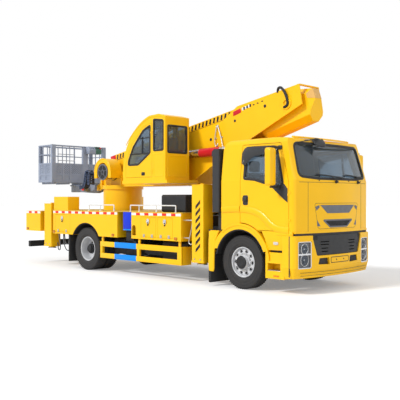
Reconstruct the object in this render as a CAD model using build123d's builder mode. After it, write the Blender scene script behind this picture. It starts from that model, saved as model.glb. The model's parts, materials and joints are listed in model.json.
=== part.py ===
from build123d import *
import os
from math import atan2, cos, hypot, radians, sin, tan

# A truck with a telescopic boom, an operator's cab and a work platform, at full size in millimetres.
# X runs forward, Y to the left and Z up, from the ground below the middle of the overall length.

# Overall places
tail_x = -4640  # rear of the tail lockers
body_half_width = 1270  # lockers and outrigger boxes
side_signs = (("right", -1), ("left", 1))  # side name, sign of Y
running_gap = 6  # round whatever opens or slides
seat_gap = 0.3  # between pieces that rest on each other

# Wheels and axles
front_axle_x = 3200
wheelbase = 5050
rear_axle_x = front_axle_x - wheelbase
tyre_radius = 522
tyre_width = 285
bead_radius = 290
front_wheel_y = 1050
rear_wheel_y = 925
twin_spacing = 320
kingpin_y = 850
spindle_radius = 45
wheel_stud_circle = 167.5
hand_hole_circle = 215
hand_hole_radius = 27

# Chassis
rail_inner_y = 350
rail_flange = 80
rail_height = 250
rail_wall = 8
rail_top = 1020
rail_front_x = 4150
rail_rear_x = -4450
subframe_height = 160
subframe_front_x = 2300
subframe_rear_x = -4400
deck_top = 1456
deck_thickness = 12
tail_deck_top = 1400
deck_front_x = 1590
deck_rear_x = -3860
spring_width = 80
air_tank_x = (-960, -260)

# Lockers
locker_wall = 20
locker_bottom = 850
locker_depth = 380
rear_locker_x = (-3280, -584)
front_locker_x = (-68, 1570)
tail_locker_x = (-4620, -3900)
side_box_x = (-373, -83)
locker_top = deck_top - deck_thickness - seat_gap
rear_arch_radius = 640
guard_x = (-1260, 1570)
guard_z = (345, 735)
guard_windows = ((-1180, 106), (194, 1440))
# body side lockers' doors: name, first x, last x
locker_doors = (
    ("rear_locker_door", -3180, -2520),
    ("front_locker_rear_door", 270, 765),
    ("front_locker_front_door", 835, 1305),
)
door_bottom = 905
door_top = 1340
door_axis_y = body_half_width + 6
door_axis_z = door_bottom - 5

# Outriggers: name, x of the box, bottom and top of the leg box
outriggers = (
    ("front", 1900, 2230, 440, 2040),
    ("rear", -3700, -3370, 500, 1625),
)
leg_box_depth = 280
beam_height = 180
beam_width = 112
beam_bottom = 1205
housing_wall = 10
jack_radius = 62
foot_radius = 115

# Driver's cab
cab_rear_x = 2710
cab_nose_x = 4610
cab_corner_x = 4470
cab_corner_radius = 110
cab_rear_radius = 190  # where the roof turns down to the rear wall
windscreen_corner = 105
cab_bottom = 1140
cab_waist = 2090
cab_roof = 2900
cab_half_width = 1245
cab_wall = 45
windscreen_lean = 235  # how far the screen leans back up to the roof
cab_tumblehome = 95  # how far each side leans in up to the roof
door_rear_x = 3210
door_front_x = 4370
cab_door_gap = 9
cab_hinges = (1300, 1800)  # heights of the door hinges
cab_hinge_x = 4374.5
cab_hinge_y = cab_half_width + 6
wheel_arch_radius = 640
fender_radius = 752

# Slewing, turret and boom
slew_x = -1980
pedestal_radius = 500
ring_radius = 530
turret_bottom = 2052
plate_half_gap = 305
plate_thickness = 25
pivot_x = 3600
pivot_z = 3642
boom_slope = 10.76  # degrees down to the rear at rest
boom_width = 420
boom_height = 600
boom_chamfer = 110
boom_wall = 10
boom_play = 8
collar_length = 70
collar_rise = 16
base_reach = 5860
belly_x = 2982  # where the butt's underside turns down to the tube
pin_radius = 50

# Luffing cylinders
luff_foot = (2050, 2770)
luff_eye = (-800, 2700)
luff_y = 440
barrel_radius = 85
barrel_bore = 70
rod_radius = 50
jacket_length = 720

# Platform
basket_x = (-4600, -3920)
basket_half_width = 900
basket_floor = 2235
basket_panel_top = 2725
basket_top = 3225
mount_pin = (-2860, 2040)
swing_x = -4100

# Operator's cab
op_x = (-370, 1080)
op_y = (-1270, -560)
op_floor = 2160
op_roof = 3590
op_wall = 30
op_door_x = (-262, 640)
op_hinge = (op_door_x[1] + 6.5, op_y[0] - 7)
op_hinges = (2330, 3180)  # heights of the door hinges

os.makedirs("parts", exist_ok=True)


def save(built, name):
    """Labels a finished piece and writes it."""
    built.part.label = name
    export_step(built.part, f"parts/{name}.step")


def block(x0, x1, y0, y1, z0, z1, mode=Mode.ADD):
    """A rectangular block between two corners."""
    with Locations(((x0 + x1) / 2, (y0 + y1) / 2, (z0 + z1) / 2)):
        Box(abs(x1 - x0), abs(y1 - y0), abs(z1 - z0), mode=mode)


def side_prism(points, y0, y1, mode=Mode.ADD):
    """An outline drawn in X and Z, given thickness from y0 to y1."""
    with BuildSketch(Plane.XZ.offset(-y0)) as outline:
        with BuildLine():
            Polyline(*points, close=True)
        make_face()
    extrude(outline.sketch, amount=y0 - y1, mode=mode)


def cross_bar(x, z, radius, y0, y1, mode=Mode.ADD):
    """A round bar or bore along Y."""
    with BuildSketch(Plane.XZ.offset(-y0)) as outline:
        with Locations((x, z)):
            Circle(radius)
    extrude(outline.sketch, amount=y0 - y1, mode=mode)


def upright(x, y, radius, z0, z1, mode=Mode.ADD):
    """A round bar or bore along Z."""
    with BuildSketch(Plane.XY.offset(z0)) as outline:
        with Locations((x, y)):
            Circle(radius)
    extrude(outline.sketch, amount=z1 - z0, mode=mode)


def long_bar(y, z, radius, x0, x1, mode=Mode.ADD):
    """A round bar or bore along X."""
    with BuildSketch(Plane.YZ.offset(x0)) as outline:
        with Locations((y, z)):
            Circle(radius)
    extrude(outline.sketch, amount=x1 - x0, mode=mode)


def ordered(a, b):
    """Two numbers, the smaller first."""
    return (a, b) if a < b else (b, a)


def turned(profile, x, y, mode=Mode.ADD):
    """A profile of radius and height, turned round an upright line."""
    with BuildSketch(Plane(origin=(x, y, 0), x_dir=(1, 0, 0), z_dir=(0, -1, 0))) as outline:
        with BuildLine():
            Polyline(*profile, close=True)
        make_face()
    revolve(outline.sketch, axis=Axis((x, y, 0), (0, 0, 1)), mode=mode)


def slot_prism(x, z0, z1, width, y0, y1, mode=Mode.ADD):
    """A slot with a round top, given thickness from y0 to y1."""
    with BuildSketch(Plane.XZ.offset(-y0)) as outline:
        with BuildLine():
            Line((x - width / 2, z0), (x + width / 2, z0))
            Line((x + width / 2, z0), (x + width / 2, z1 - width / 2))
            ThreePointArc((x + width / 2, z1 - width / 2), (x, z1), (x - width / 2, z1 - width / 2))
            Line((x - width / 2, z1 - width / 2), (x - width / 2, z0))
        make_face()
    extrude(outline.sketch, amount=y0 - y1, mode=mode)


# Wheels
def tyre_ring(y_middle):
    """One tyre, turned round its axle line."""
    half = tyre_width / 2
    shoulder = tyre_radius - 22
    with BuildSketch(Plane.YZ) as outline:
        with BuildLine():
            Polyline(
                (y_middle - half * 0.72, bead_radius),
                (y_middle - half * 0.94, bead_radius + 45),
                (y_middle - half, bead_radius + 110),
                (y_middle - half * 0.94, shoulder),
                (y_middle - half * 0.80, tyre_radius),
                (y_middle + half * 0.80, tyre_radius),
                (y_middle + half * 0.94, shoulder),
                (y_middle + half, bead_radius + 110),
                (y_middle + half * 0.94, bead_radius + 45),
                (y_middle + half * 0.72, bead_radius),
                close=True,
            )
        make_face()
    revolve(outline.sketch, axis=Axis.Y)


def rim_dish(y_middle, edge, disc):
    """One disc wheel: a rim, and a dished disc from the rim at y = edge to the hub at y = disc."""
    half = tyre_width / 2 * 0.72
    top = bead_radius - seat_gap
    with BuildSketch(Plane.YZ) as outline:
        with BuildLine():
            Polyline(
                (y_middle - half - 6, top - 14),
                (y_middle - half - 6, top),
                (y_middle + half + 6, top),
                (y_middle + half + 6, top - 14),
                close=True,
            )
        make_face()
    revolve(outline.sketch, axis=Axis.Y)
    with BuildSketch(Plane.YZ) as outline:
        with BuildLine():
            Polyline(
                (disc - 7, spindle_radius + 45),
                (disc - 7, hand_hole_circle + 15),
                (edge - 7, top - 13),
                (edge + 7, top - 13),
                (disc + 7, hand_hole_circle + 15),
                (disc + 7, spindle_radius + 45),
                close=True,
            )
        make_face()
    revolve(outline.sketch, axis=Axis.Y)
    with BuildSketch(Plane.XZ.offset(-(disc - 60))) as outline:
        with PolarLocations(hand_hole_circle, 10):
            Circle(hand_hole_radius)
    extrude(outline.sketch, amount=-120, mode=Mode.SUBTRACT)


def hub(out, y_inner, y_outer, radius):
    """A hub turned round the spindle, with a domed cap at its outer end."""
    with BuildSketch(Plane.YZ) as outline:
        with BuildLine():
            Polyline(
                (out * y_inner, spindle_radius + seat_gap),
                (out * y_inner, radius),
                (out * (y_outer - 30), radius - 10),
                (out * y_outer, radius - 35),
                (out * y_outer, 0.0),
                (out * (y_outer - 20), 0.0),
                (out * (y_outer - 20), spindle_radius + seat_gap),
                close=True,
            )
        make_face()
    revolve(outline.sketch, axis=Axis.Y)


def studs(out, y_face):
    """Ten wheel nuts on a disc."""
    with BuildSketch(Plane.XZ.offset(-out * y_face)) as outline:
        with PolarLocations(wheel_stud_circle, 10):
            RegularPolygon(16, 6)
    extrude(outline.sketch, amount=-out * 26)


def moved(part, x, z):
    """A piece made round the Y axis, carried to its axle."""
    return part.moved(Location((x, 0, z)))


for side, out in side_signs:
    with BuildPart() as front_tyre:
        tyre_ring(out * front_wheel_y)
    with BuildPart() as tyre:
        add(moved(front_tyre.part, front_axle_x, tyre_radius))
    save(tyre, f"tyre_front_{side}")

    with BuildPart() as front_rim:
        rim_dish(out * front_wheel_y, out * (front_wheel_y + 50), out * (front_wheel_y + 70))
        hub(out, front_wheel_y - 60, front_wheel_y + 150, 128)
        studs(out, front_wheel_y + 76)
    with BuildPart() as rim:
        add(moved(front_rim.part, front_axle_x, tyre_radius))
    save(rim, f"rim_front_{side}")

    outer_y = rear_wheel_y + twin_spacing / 2
    inner_y = rear_wheel_y - twin_spacing / 2
    with BuildPart() as twin_tyres:
        tyre_ring(out * outer_y)
        tyre_ring(out * inner_y)
    with BuildPart() as tyres:
        add(moved(twin_tyres.part, rear_axle_x, tyre_radius))
    save(tyres, f"tyres_rear_{side}")

    with BuildPart() as twin_rims:
        rim_dish(out * outer_y, out * (outer_y - 90), out * (rear_wheel_y + 7))
        rim_dish(out * inner_y, out * (inner_y + 90), out * (rear_wheel_y - 7))
        hub(out, rear_wheel_y - 110, rear_wheel_y + 150, 128)
        studs(out, rear_wheel_y + 13)
    with BuildPart() as rims:
        add(moved(twin_rims.part, rear_axle_x, tyre_radius))
    save(rims, f"rims_rear_{side}")

# Steering knuckles
for side, out in side_signs:
    with BuildPart() as knuckle:
        y0, y1 = ordered(out * (kingpin_y - 60), out * (kingpin_y + 70))
        block(front_axle_x - 70, front_axle_x + 70, y0, y1, tyre_radius - 110, tyre_radius + 110)
        y0, y1 = ordered(out * (kingpin_y - 62), out * (kingpin_y + 45))
        block(front_axle_x - 72, front_axle_x + 72, y0, y1, tyre_radius - 62, tyre_radius + 62, Mode.SUBTRACT)
        y0, y1 = ordered(out * (kingpin_y + 45), out * (front_wheel_y + 125))
        cross_bar(front_axle_x, tyre_radius, spindle_radius, y0, y1)
        upright(front_axle_x, out * kingpin_y, 18, tyre_radius - 65, tyre_radius + 65)
        y0, y1 = ordered(out * (kingpin_y - 60), out * (kingpin_y + 40))
        block(front_axle_x - 230, front_axle_x - 70, y0, y1, tyre_radius - 95, tyre_radius - 65)
    save(knuckle, f"knuckle_{side}")

# Axles with their leaf springs
with BuildPart() as axles:
    front_span = kingpin_y - 62
    block(front_axle_x - 50, front_axle_x + 50, -front_span, front_span, tyre_radius - 56, tyre_radius + 56)
    block(front_axle_x - 30, front_axle_x + 30, -kingpin_y, kingpin_y, tyre_radius - 56, tyre_radius + 56)
    for side, out in side_signs:
        upright(front_axle_x, out * kingpin_y, 36, tyre_radius - 61.7, tyre_radius + 61.7)
        upright(front_axle_x, out * kingpin_y, 18 + seat_gap, tyre_radius - 70, tyre_radius + 70,
                Mode.SUBTRACT)
    block(front_axle_x - 52, front_axle_x - 18, -front_span + 160, front_span - 160,
          tyre_radius - 34, tyre_radius + 34, Mode.SUBTRACT)
    block(front_axle_x + 18, front_axle_x + 52, -front_span + 160, front_span - 160,
          tyre_radius - 34, tyre_radius + 34, Mode.SUBTRACT)
    cross_bar(rear_axle_x, tyre_radius, 75, -rear_wheel_y + 115, rear_wheel_y - 115)
    cross_bar(rear_axle_x, tyre_radius, spindle_radius, -rear_wheel_y - 125, rear_wheel_y + 125)
    with Locations((rear_axle_x, 0, tyre_radius)):
        Sphere(215)
    long_bar(0, tyre_radius, 95, rear_axle_x + 150, rear_axle_x + 330)
    side_prism([(rear_axle_x + 300, tyre_radius - 60), (rear_axle_x + 330, tyre_radius - 60),
                (rear_axle_x + 330, 800), (rear_axle_x + 230, 800),
                (rear_axle_x + 180, tyre_radius + 100)], -70, 70)
    # shock absorbers: axle x, lean of the top
    for shock_x, lean in ((front_axle_x + 20, 260), (rear_axle_x, -260)):
        for side, out in side_signs:
            foot = (shock_x, out * 530, tyre_radius + 10)
            head = (shock_x + lean, out * 530, 880)
            direction = (lean, 0, head[2] - foot[2])
            with BuildSketch(Plane(origin=foot, x_dir=(0, 1, 0), z_dir=direction)) as outline:
                Circle(28)
            extrude(outline.sketch, amount=hypot(lean, head[2] - foot[2]))
            y0, y1 = ordered(out * (rail_inner_y + rail_flange + seat_gap), out * 545)
            block(head[0] - 40, head[0] + 40, y0, y1, 850, 910)
    # leaf springs: axle x, half length, height of the eye, clamp bottom
    for spring_x, half_length, eye_z, clamp_z in (
        (front_axle_x, 720, rail_top - rail_height - 70, tyre_radius + 50),
        (rear_axle_x, 780, rail_top - rail_height - 70, tyre_radius + 70),
    ):
        for side, out in side_signs:
            y0, y1 = ordered(out * rail_inner_y, out * (rail_inner_y + spring_width))
            for leaf in range(4):
                reach = half_length * (1 - 0.2 * leaf)
                sag = (eye_z - clamp_z - 60) * (reach / half_length) ** 2
                base = clamp_z + 56 - 14 * leaf
                with BuildSketch(Plane.XZ.offset(-y0)):
                    with BuildLine():
                        ThreePointArc((spring_x - reach, base + sag), (spring_x, base),
                                      (spring_x + reach, base + sag))
                        Line((spring_x + reach, base + sag), (spring_x + reach, base + sag + 14))
                        ThreePointArc((spring_x + reach, base + sag + 14), (spring_x, base + 14),
                                      (spring_x - reach, base + sag + 14))
                        Line((spring_x - reach, base + sag + 14), (spring_x - reach, base + sag))
                    make_face()
                extrude(amount=y0 - y1)
            block(spring_x - 90, spring_x + 90, y0 - 8, y1 + 8, clamp_z - 20, clamp_z + 90)
            for end in (-1, 1):
                cross_bar(spring_x + end * half_length, eye_z + 10, 32, y0, y1)
                block(spring_x + end * half_length - 30, spring_x + end * half_length + 30, y0, y1,
                      eye_z + 10, rail_top - rail_height - seat_gap)
save(axles, "axles")

# Chassis frame: two channel rails, cross members and the underride bar
with BuildPart() as chassis_frame:
    for side, out in side_signs:
        with BuildSketch(Plane.YZ.offset(rail_rear_x)):
            with BuildLine():
                web = out * (rail_inner_y + rail_flange)
                inner = out * rail_inner_y
                skin = out * (rail_inner_y + rail_flange - rail_wall)
                low = rail_top - rail_height
                Polyline((web, low), (web, rail_top), (inner, rail_top), (inner, rail_top - rail_wall),
                         (skin, rail_top - rail_wall), (skin, low + rail_wall), (inner, low + rail_wall),
                         (inner, low), close=True)
            make_face()
        extrude(amount=rail_front_x - rail_rear_x)
    web_y = rail_inner_y + rail_flange - rail_wall
    for cross_x in (4080, 2060, 1250, 100, -1200, -2500, -3500, -4380):
        block(cross_x - 60, cross_x + 60, -web_y, web_y, rail_top - 180, rail_top - 172)
        block(cross_x - 4, cross_x + 4, -web_y, web_y, rail_top - 172, rail_top - 60)
    for mount_x in (2800, 4050):
        for side, out in side_signs:
            y0, y1 = ordered(out * rail_inner_y, out * (rail_inner_y + rail_flange))
            block(mount_x - 45, mount_x + 45, y0, y1, rail_top, cab_bottom - seat_gap)
    for side, out in side_signs:
        y0, y1 = ordered(out * 400, out * 422)
        side_prism([(tail_x + 60, 470), (tail_x + 160, 470), (-4350, 780), (-4450, 780),
                    (tail_x + 60, 640)], y0, y1)
    block(tail_x + 20, tail_x + 110, -1200, 1200, 440, 600)
save(chassis_frame, "chassis_frame")

# Engine, gearbox, drive shaft, tanks and battery box
with BuildPart() as chassis_equipment:
    block(2900, 3950, -330, 330, 800, 1090)
    block(3020, 3900, -250, 250, 640, 800)
    for mount_x in (3050, 3750):
        block(mount_x, mount_x + 100, -rail_inner_y + seat_gap, rail_inner_y - seat_gap, 990, 1025)
    block(2150, 2900, -170, 170, 660, 940)
    long_bar(0, 760, 50, rear_axle_x + 330 + seat_gap, 2150)
    # air tanks and the silencer, hung from the rails
    for side, out in side_signs:
        long_bar(out * 395, 615, 105, air_tank_x[0], air_tank_x[1])
        for strap in (air_tank_x[0] + 120, air_tank_x[1] - 160):
            block(strap, strap + 40, *ordered(out * 360, out * 430), 700, rail_top - rail_height - seat_gap)
    long_bar(-680, 600, 150, -150, 560)
    for strap in (-60, 430):
        block(strap, strap + 50, -640, -rail_inner_y - rail_flange - seat_gap, 720, 790)
    for side, out, x0, x1 in (("right", -1, 700, 1500), ("left", 1, 500, 1500)):
        y0, y1 = ordered(out * (rail_inner_y + rail_flange + seat_gap), out * 1000)
        with BuildSketch(Plane.YZ.offset(x0)):
            with Locations(((y0 + y1) / 2, 620)):
                RectangleRounded(y1 - y0, 400, 60)
        extrude(amount=x1 - x0)
        for strap in (x0 + 150, x1 - 190):
            y0, y1 = ordered(out * (rail_inner_y + rail_flange + seat_gap), out * 700)
            block(strap, strap + 40, y0, y1, 820, 850)
    # tall boxes between the lockers
    for side, out in side_signs:
        block(*side_box_x, *ordered(out * 640, out * 1262), 1032, locker_top)
        block(side_box_x[0] + 80, side_box_x[1] - 80,
              *ordered(out * (rail_inner_y + rail_flange + seat_gap), out * 641), 1080, 1150)
    # oil tank of the hydraulics, on the deck behind the front outriggers
    with BuildSketch(Plane.YZ.offset(750)):
        with Locations((-760, deck_top + seat_gap + 190)):
            RectangleRounded(640, 380, 50)
    extrude(amount=760)
save(chassis_equipment, "chassis_equipment")

# Subframe with the outrigger housings
sub_low = rail_top + seat_gap
sub_top = rail_top + subframe_height
with BuildPart() as subframe:
    block(-4200, -4120, -890 + seat_gap, 890 - seat_gap, sub_low, sub_top)
    for side, out in side_signs:
        y0, y1 = ordered(out * rail_inner_y, out * (rail_inner_y + rail_flange))
        block(subframe_rear_x, subframe_front_x, y0, y1, sub_low, sub_top)
    for name, x0, x1, leg_low, leg_top in outriggers:
        middle = (x0 + x1) / 2
        half = beam_width + running_gap * 2 + housing_wall * 1.5
        end_y = body_half_width - leg_box_depth - running_gap
        block(middle - half, middle + half, -end_y, end_y, sub_top - 1, beam_bottom + beam_height + 18)
        for shift in (-1, 1):
            centre = middle + shift * (beam_width / 2 + running_gap + housing_wall / 2)
            block(centre - beam_width / 2 - running_gap, centre + beam_width / 2 + running_gap,
                  -end_y - 1, end_y + 1, beam_bottom - seat_gap, beam_bottom + beam_height + running_gap,
                  Mode.SUBTRACT)
    for rib_x in (-2900, -2450, -1500, -1050, -300, 500, 1300):
        block(rib_x - 6, rib_x + 6, -rail_inner_y - 1, rail_inner_y + 1, sub_low + 20, sub_top - 20)
save(subframe, "subframe")

# Slewing pedestal
with BuildPart() as slew_pedestal:
    block(slew_x - 560, slew_x + 560, -470, 470, sub_top + seat_gap, sub_top + 24)
    upright(slew_x, 0, pedestal_radius, sub_top + 20, turret_bottom - 62)
    upright(slew_x, 0, pedestal_radius - 16, sub_top + 24, turret_bottom - 80, Mode.SUBTRACT)
    upright(slew_x, 0, ring_radius, turret_bottom - 62, turret_bottom - seat_gap)
    upright(slew_x, 0, 330, turret_bottom - 90, turret_bottom, Mode.SUBTRACT)
    for turn in range(8):
        angle = radians(45 * turn)
        gusset_plane = Plane(origin=(slew_x, 0, 0), x_dir=(cos(angle), sin(angle), 0),
                             z_dir=(sin(angle), -cos(angle), 0))
        with BuildSketch(gusset_plane):
            with BuildLine():
                Polyline((pedestal_radius - 4, sub_top + 22), (pedestal_radius + 45, sub_top + 22),
                         (pedestal_radius - 4, sub_top + 220), close=True)
            make_face()
        extrude(amount=8, both=True)
save(slew_pedestal, "slew_pedestal")

# Deck plate on its bearers
with BuildPart() as deck:
    block(deck_rear_x, deck_front_x, -body_half_width + 20, body_half_width - 20,
          deck_top - deck_thickness, deck_top)
    for bearer_x in (1480, 820, 160, -500, -1160, -2800, -3200, -3800):
        for side, out in side_signs:
            y0, y1 = ordered(out * rail_inner_y, out * (body_half_width - locker_depth - 4))
            block(bearer_x - 30, bearer_x + 30, y0, y1, sub_top + seat_gap, deck_top - deck_thickness)
    upright(slew_x, 0, pedestal_radius + 55, sub_top, deck_top + 1, Mode.SUBTRACT)
    for name, x0, x1, leg_low, leg_top in outriggers[1:]:
        for side, out in side_signs:
            y0, y1 = ordered(out * (body_half_width - leg_box_depth - 20), out * body_half_width)
            block(x0 - 20, x1 + 20, y0, y1, deck_top - 20, deck_top + 1, Mode.SUBTRACT)
        # the plate is in lengths that meet at the leg boxes
        for seam_x in (x0 - 20, x1 + 20):
            block(seam_x - seat_gap, seam_x, -body_half_width, body_half_width, deck_top - 20, deck_top + 1,
                  Mode.SUBTRACT)
    # lower plate over the tail, reached by a riser
    block(deck_rear_x - 14, deck_rear_x + 2, -880, 880, tail_deck_top - deck_thickness, deck_top)
    block(tail_x + 30, deck_rear_x - 12, -880, 880, tail_deck_top - deck_thickness, tail_deck_top)
    for side, out in side_signs:
        y0, y1 = ordered(out * rail_inner_y, out * (rail_inner_y + rail_flange))
        for bearer_x in (-4330, -3950):
            block(bearer_x - 30, bearer_x + 30, y0, y1, sub_top + seat_gap,
                  tail_deck_top - deck_thickness + 1)
save(deck, "deck")


# Lockers and their drop-down doors
def locker_box(out, x0, x1, z0, z1):
    """A hollow sheet box along the side of the body."""
    y0, y1 = ordered(out * body_half_width, out * (body_half_width - locker_depth))
    block(x0, x1, y0, y1, z0, z1)
    block(x0 + locker_wall, x1 - locker_wall, y0 + locker_wall, y1 - locker_wall,
          z0 + locker_wall, z1 - locker_wall, Mode.SUBTRACT)


with BuildPart() as lockers:
    for side, out in side_signs:
        y0, y1 = ordered(out * body_half_width, out * (body_half_width - locker_depth))
        block(*rear_locker_x, y0, y1, locker_bottom, locker_top)
        cross_bar(rear_axle_x, tyre_radius, rear_arch_radius, y0 - 1, y1 + 1, Mode.SUBTRACT)
        for x0, x1 in ((rear_locker_x[0], rear_axle_x - 500), (rear_axle_x + 500, rear_locker_x[1])):
            block(x0 + locker_wall, x1 - locker_wall, y0 + locker_wall, y1 - locker_wall,
                  locker_bottom + locker_wall, locker_top - locker_wall, Mode.SUBTRACT)
        locker_box(out, *front_locker_x, locker_bottom, locker_top)
        locker_box(out, *tail_locker_x, 885, 1424)
        for name, x0, x1 in locker_doors:
            skin0, skin1 = ordered(out * (body_half_width + 1), out * (body_half_width - locker_wall - 1))
            block(x0 - running_gap, x1 + running_gap, skin0, skin1,
                  door_bottom - running_gap, door_top + running_gap, Mode.SUBTRACT)
            for hinge_x in (x0 + 80, x1 - 140):
                y0, y1 = ordered(out * (body_half_width - 1), out * (door_axis_y + 1))
                block(hinge_x + 30.3, hinge_x + 60, y0, y1, door_axis_z - 40, door_axis_z)
                long_bar(out * door_axis_y, door_axis_z, 5, hinge_x + 30.3, hinge_x + 60)
        slot0, slot1 = ordered(out * (body_half_width + 1), out * (body_half_width - locker_wall - 1))
        slot_prism(20, 924, 1155, 130, slot0, slot1, Mode.SUBTRACT)
        # box on the deck beside the pedestal
        y0, y1 = ordered(out * (body_half_width - 25), out * 900)
        block(-3280, -2640, y0, y1, deck_top + seat_gap, 1800)
        block(-3260, -2660, y0 + 20, y1 - 20, deck_top + 20, 1780, Mode.SUBTRACT)
        block(-3220, -2700, y0 + 40, y1 - 40, 1770, 1801, Mode.SUBTRACT)
save(lockers, "lockers")

for name, x0, x1 in locker_doors:
    for side, out in side_signs:
        with BuildPart() as locker_door:
            skin0, skin1 = ordered(out * body_half_width, out * (body_half_width - locker_wall))
            block(x0, x1, skin0, skin1, door_bottom, door_top)
            fold0, fold1 = ordered(out * (body_half_width - 6), out * (body_half_width - locker_wall - 1))
            block(x0 + 25, x1 - 25, fold0, fold1, door_bottom + 25, door_top - 25, Mode.SUBTRACT)
            for hinge_x in (x0 + 80, x1 - 140):
                y0, y1 = ordered(out * (body_half_width - 1), out * (door_axis_y + 1))
                block(hinge_x, hinge_x + 30, y0, y1, door_axis_z, door_bottom + 40)
                long_bar(out * door_axis_y, door_axis_z, 5, hinge_x, hinge_x + 30)
        save(locker_door, f"{name}_{side}")

# Deck rails, side guards and the step rails
with BuildPart() as side_rails:
    for side, out in side_signs:
        y = out * 1205
        for post_xs in ((-1786, -1330, -790), (-176, 130, 720, 1340)):
            long_bar(y, 1600, 14, post_xs[0] - 14, post_xs[-1] + 14)
            for post_x in post_xs:
                upright(post_x, y, 12, deck_top + seat_gap, 1600)
        # side guard: a frame of two broad rails with rounded windows
        y0, y1 = ordered(out * 1222, out * 1258)
        with BuildSketch(Plane.XZ.offset(-y0)) as guard:
            with Locations(((guard_x[0] + guard_x[1]) / 2, (guard_z[0] + guard_z[1]) / 2)):
                RectangleRounded(guard_x[1] - guard_x[0], guard_z[1] - guard_z[0], 18)
            for x0, x1 in guard_windows:
                with Locations(((x0 + x1) / 2, 538)):
                    RectangleRounded(x1 - x0, 156, 24, mode=Mode.SUBTRACT)
        extrude(guard.sketch, amount=y0 - y1)
        block(guard_x[1] - 24, guard_x[1], *ordered(out * 960, out * 1257), guard_z[0] + 2, guard_z[1] - 2)
        for post_x in (-1210, 150, 1500):
            block(post_x - 22, post_x + 22, y0, y1, guard_z[1] - 1, locker_bottom - seat_gap)
save(side_rails, "side_rails")

# Outrigger beams with their leg boxes, and the jack legs
for name, x0, x1, leg_low, leg_top in outriggers:
    middle = (x0 + x1) / 2
    for side, out in side_signs:
        shift = out * (beam_width / 2 + running_gap + housing_wall / 2)
        centre = middle + shift
        leg_y = out * (body_half_width - leg_box_depth / 2)
        with BuildPart() as outrigger_beam:
            y0, y1 = ordered(out * body_half_width, out * (body_half_width - leg_box_depth))
            block(x0, x1, y0, y1, leg_low, leg_top)
            upright(middle, leg_y, jack_radius + running_gap, leg_low + 60, leg_top - 20, Mode.SUBTRACT)
            upright(middle, leg_y, jack_radius + seat_gap, leg_low - 1, leg_low + 61, Mode.SUBTRACT)
            b0, b1 = ordered(out * (body_half_width - leg_box_depth + 1), -out * 930)
            block(centre - beam_width / 2, centre + beam_width / 2, b0, b1,
                  beam_bottom, beam_bottom + beam_height)
            # cap, foot flange and side ribs
            c0, c1 = ordered(out * (body_half_width + 4), out * (body_half_width - leg_box_depth - 4))
            block(x0 - 14, x1 + 14, c0, c1, leg_top - 12, leg_top)
            block(x0 - 10, x1 + 10, c0, c1, leg_low, leg_low + 14)
            upright(middle, leg_y, 45, leg_top - 1, leg_top + 22)
            upright(middle, leg_y, jack_radius + seat_gap, leg_low - 1, leg_low + 15, Mode.SUBTRACT)
        save(outrigger_beam, f"outrigger_beam_{name}_{side}")
        with BuildPart() as jack_leg:
            upright(middle, leg_y, jack_radius, leg_low - 10, leg_top - 60)
            turned([(0, leg_low - 48), (foot_radius - 8, leg_low - 48), (foot_radius, leg_low - 40),
                    (foot_radius, leg_low - 28), (jack_radius + 8, leg_low - running_gap),
                    (0, leg_low - running_gap)], middle, leg_y)
        save(jack_leg, f"jack_leg_{name}_{side}")


# Driver's cab
def plan_face(inset):
    """The cab seen from above: straight sides, a bowed nose and rounded corners."""
    y = cab_half_width - inset
    with BuildSketch() as plan:
        with BuildLine():
            Line((cab_rear_x + inset - 400, -y), (cab_corner_x - inset, -y))
            ThreePointArc((cab_corner_x - inset, -y), (cab_nose_x - inset, 0), (cab_corner_x - inset, y))
            Line((cab_corner_x - inset, y), (cab_rear_x + inset - 400, y))
            Line((cab_rear_x + inset - 400, y), (cab_rear_x + inset - 400, -y))
        make_face()
        fillet(plan.vertices().group_by(Axis.X)[-1], cab_corner_radius)
    return plan.sketch


def nose_band(z0, z1, front, back, mode=Mode.ADD):
    """A band that follows the cab's plan between two insets."""
    with BuildSketch(Plane.XY.offset(z0)) as band:
        add(plan_face(front))
        add(plan_face(back), mode=Mode.SUBTRACT)
    extrude(band.sketch, amount=z1 - z0, mode=mode)


def cab_form(inset):
    """The cab's outer form, or the same form moved in on every side."""
    low = cab_bottom + inset
    waist = cab_waist - inset * 0.3
    top = cab_roof - inset
    rear = cab_rear_x + inset
    half = cab_half_width - inset
    lean = windscreen_lean / (cab_roof - cab_waist)
    with BuildPart() as form:
        with BuildSketch(Plane.XY.offset(low - 60)):
            add(plan_face(inset))
        extrude(amount=waist - low + 60)
        with BuildSketch(Plane.XY.offset(waist)):
            add(plan_face(inset))
        extrude(amount=top - waist + 60, dir=(-lean, 0, 1))
        # side outline
        with BuildSketch(Plane.XZ.offset(cab_half_width + 50)):
            with BuildLine():
                Polyline((rear, low), (cab_nose_x + 50, low), (cab_nose_x + 50, cab_waist),
                         (4290 - inset, top - 30), (3900, top), (rear, top - 15), close=True)
            make_face()
            fillet(vertices().group_by(Axis.X)[0].sort_by(Axis.Y)[-1], cab_rear_radius - inset)
            fillet(vertices().sort_by_distance((4290 - inset, top - 30))[0], 90)
        extrude(amount=-2 * cab_half_width - 100, mode=Mode.INTERSECT)
        # front outline, leaning in above the waist
        with BuildSketch(Plane.YZ.offset(cab_rear_x - 600)):
            with BuildLine():
                clear = half + 30
                clear_z = cab_waist - 30 * (cab_roof - cab_waist) / cab_tumblehome
                Polyline((-clear, low - 80), (-clear, clear_z), (-half + cab_tumblehome, top),
                         (half - cab_tumblehome, top), (clear, clear_z), (clear, low - 80), close=True)
            make_face()
            corner = vertices().group_by(Axis.Y)[-1]
            fillet(corner, 130 - inset)
        extrude(amount=3000, mode=Mode.INTERSECT)
    return form.part


cab_outer = cab_form(0)
cab_inner = cab_form(cab_wall)
glass_outer = cab_form(14)
glass_inner = cab_form(20)
grille_floor = cab_form(20 - seat_gap)

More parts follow.
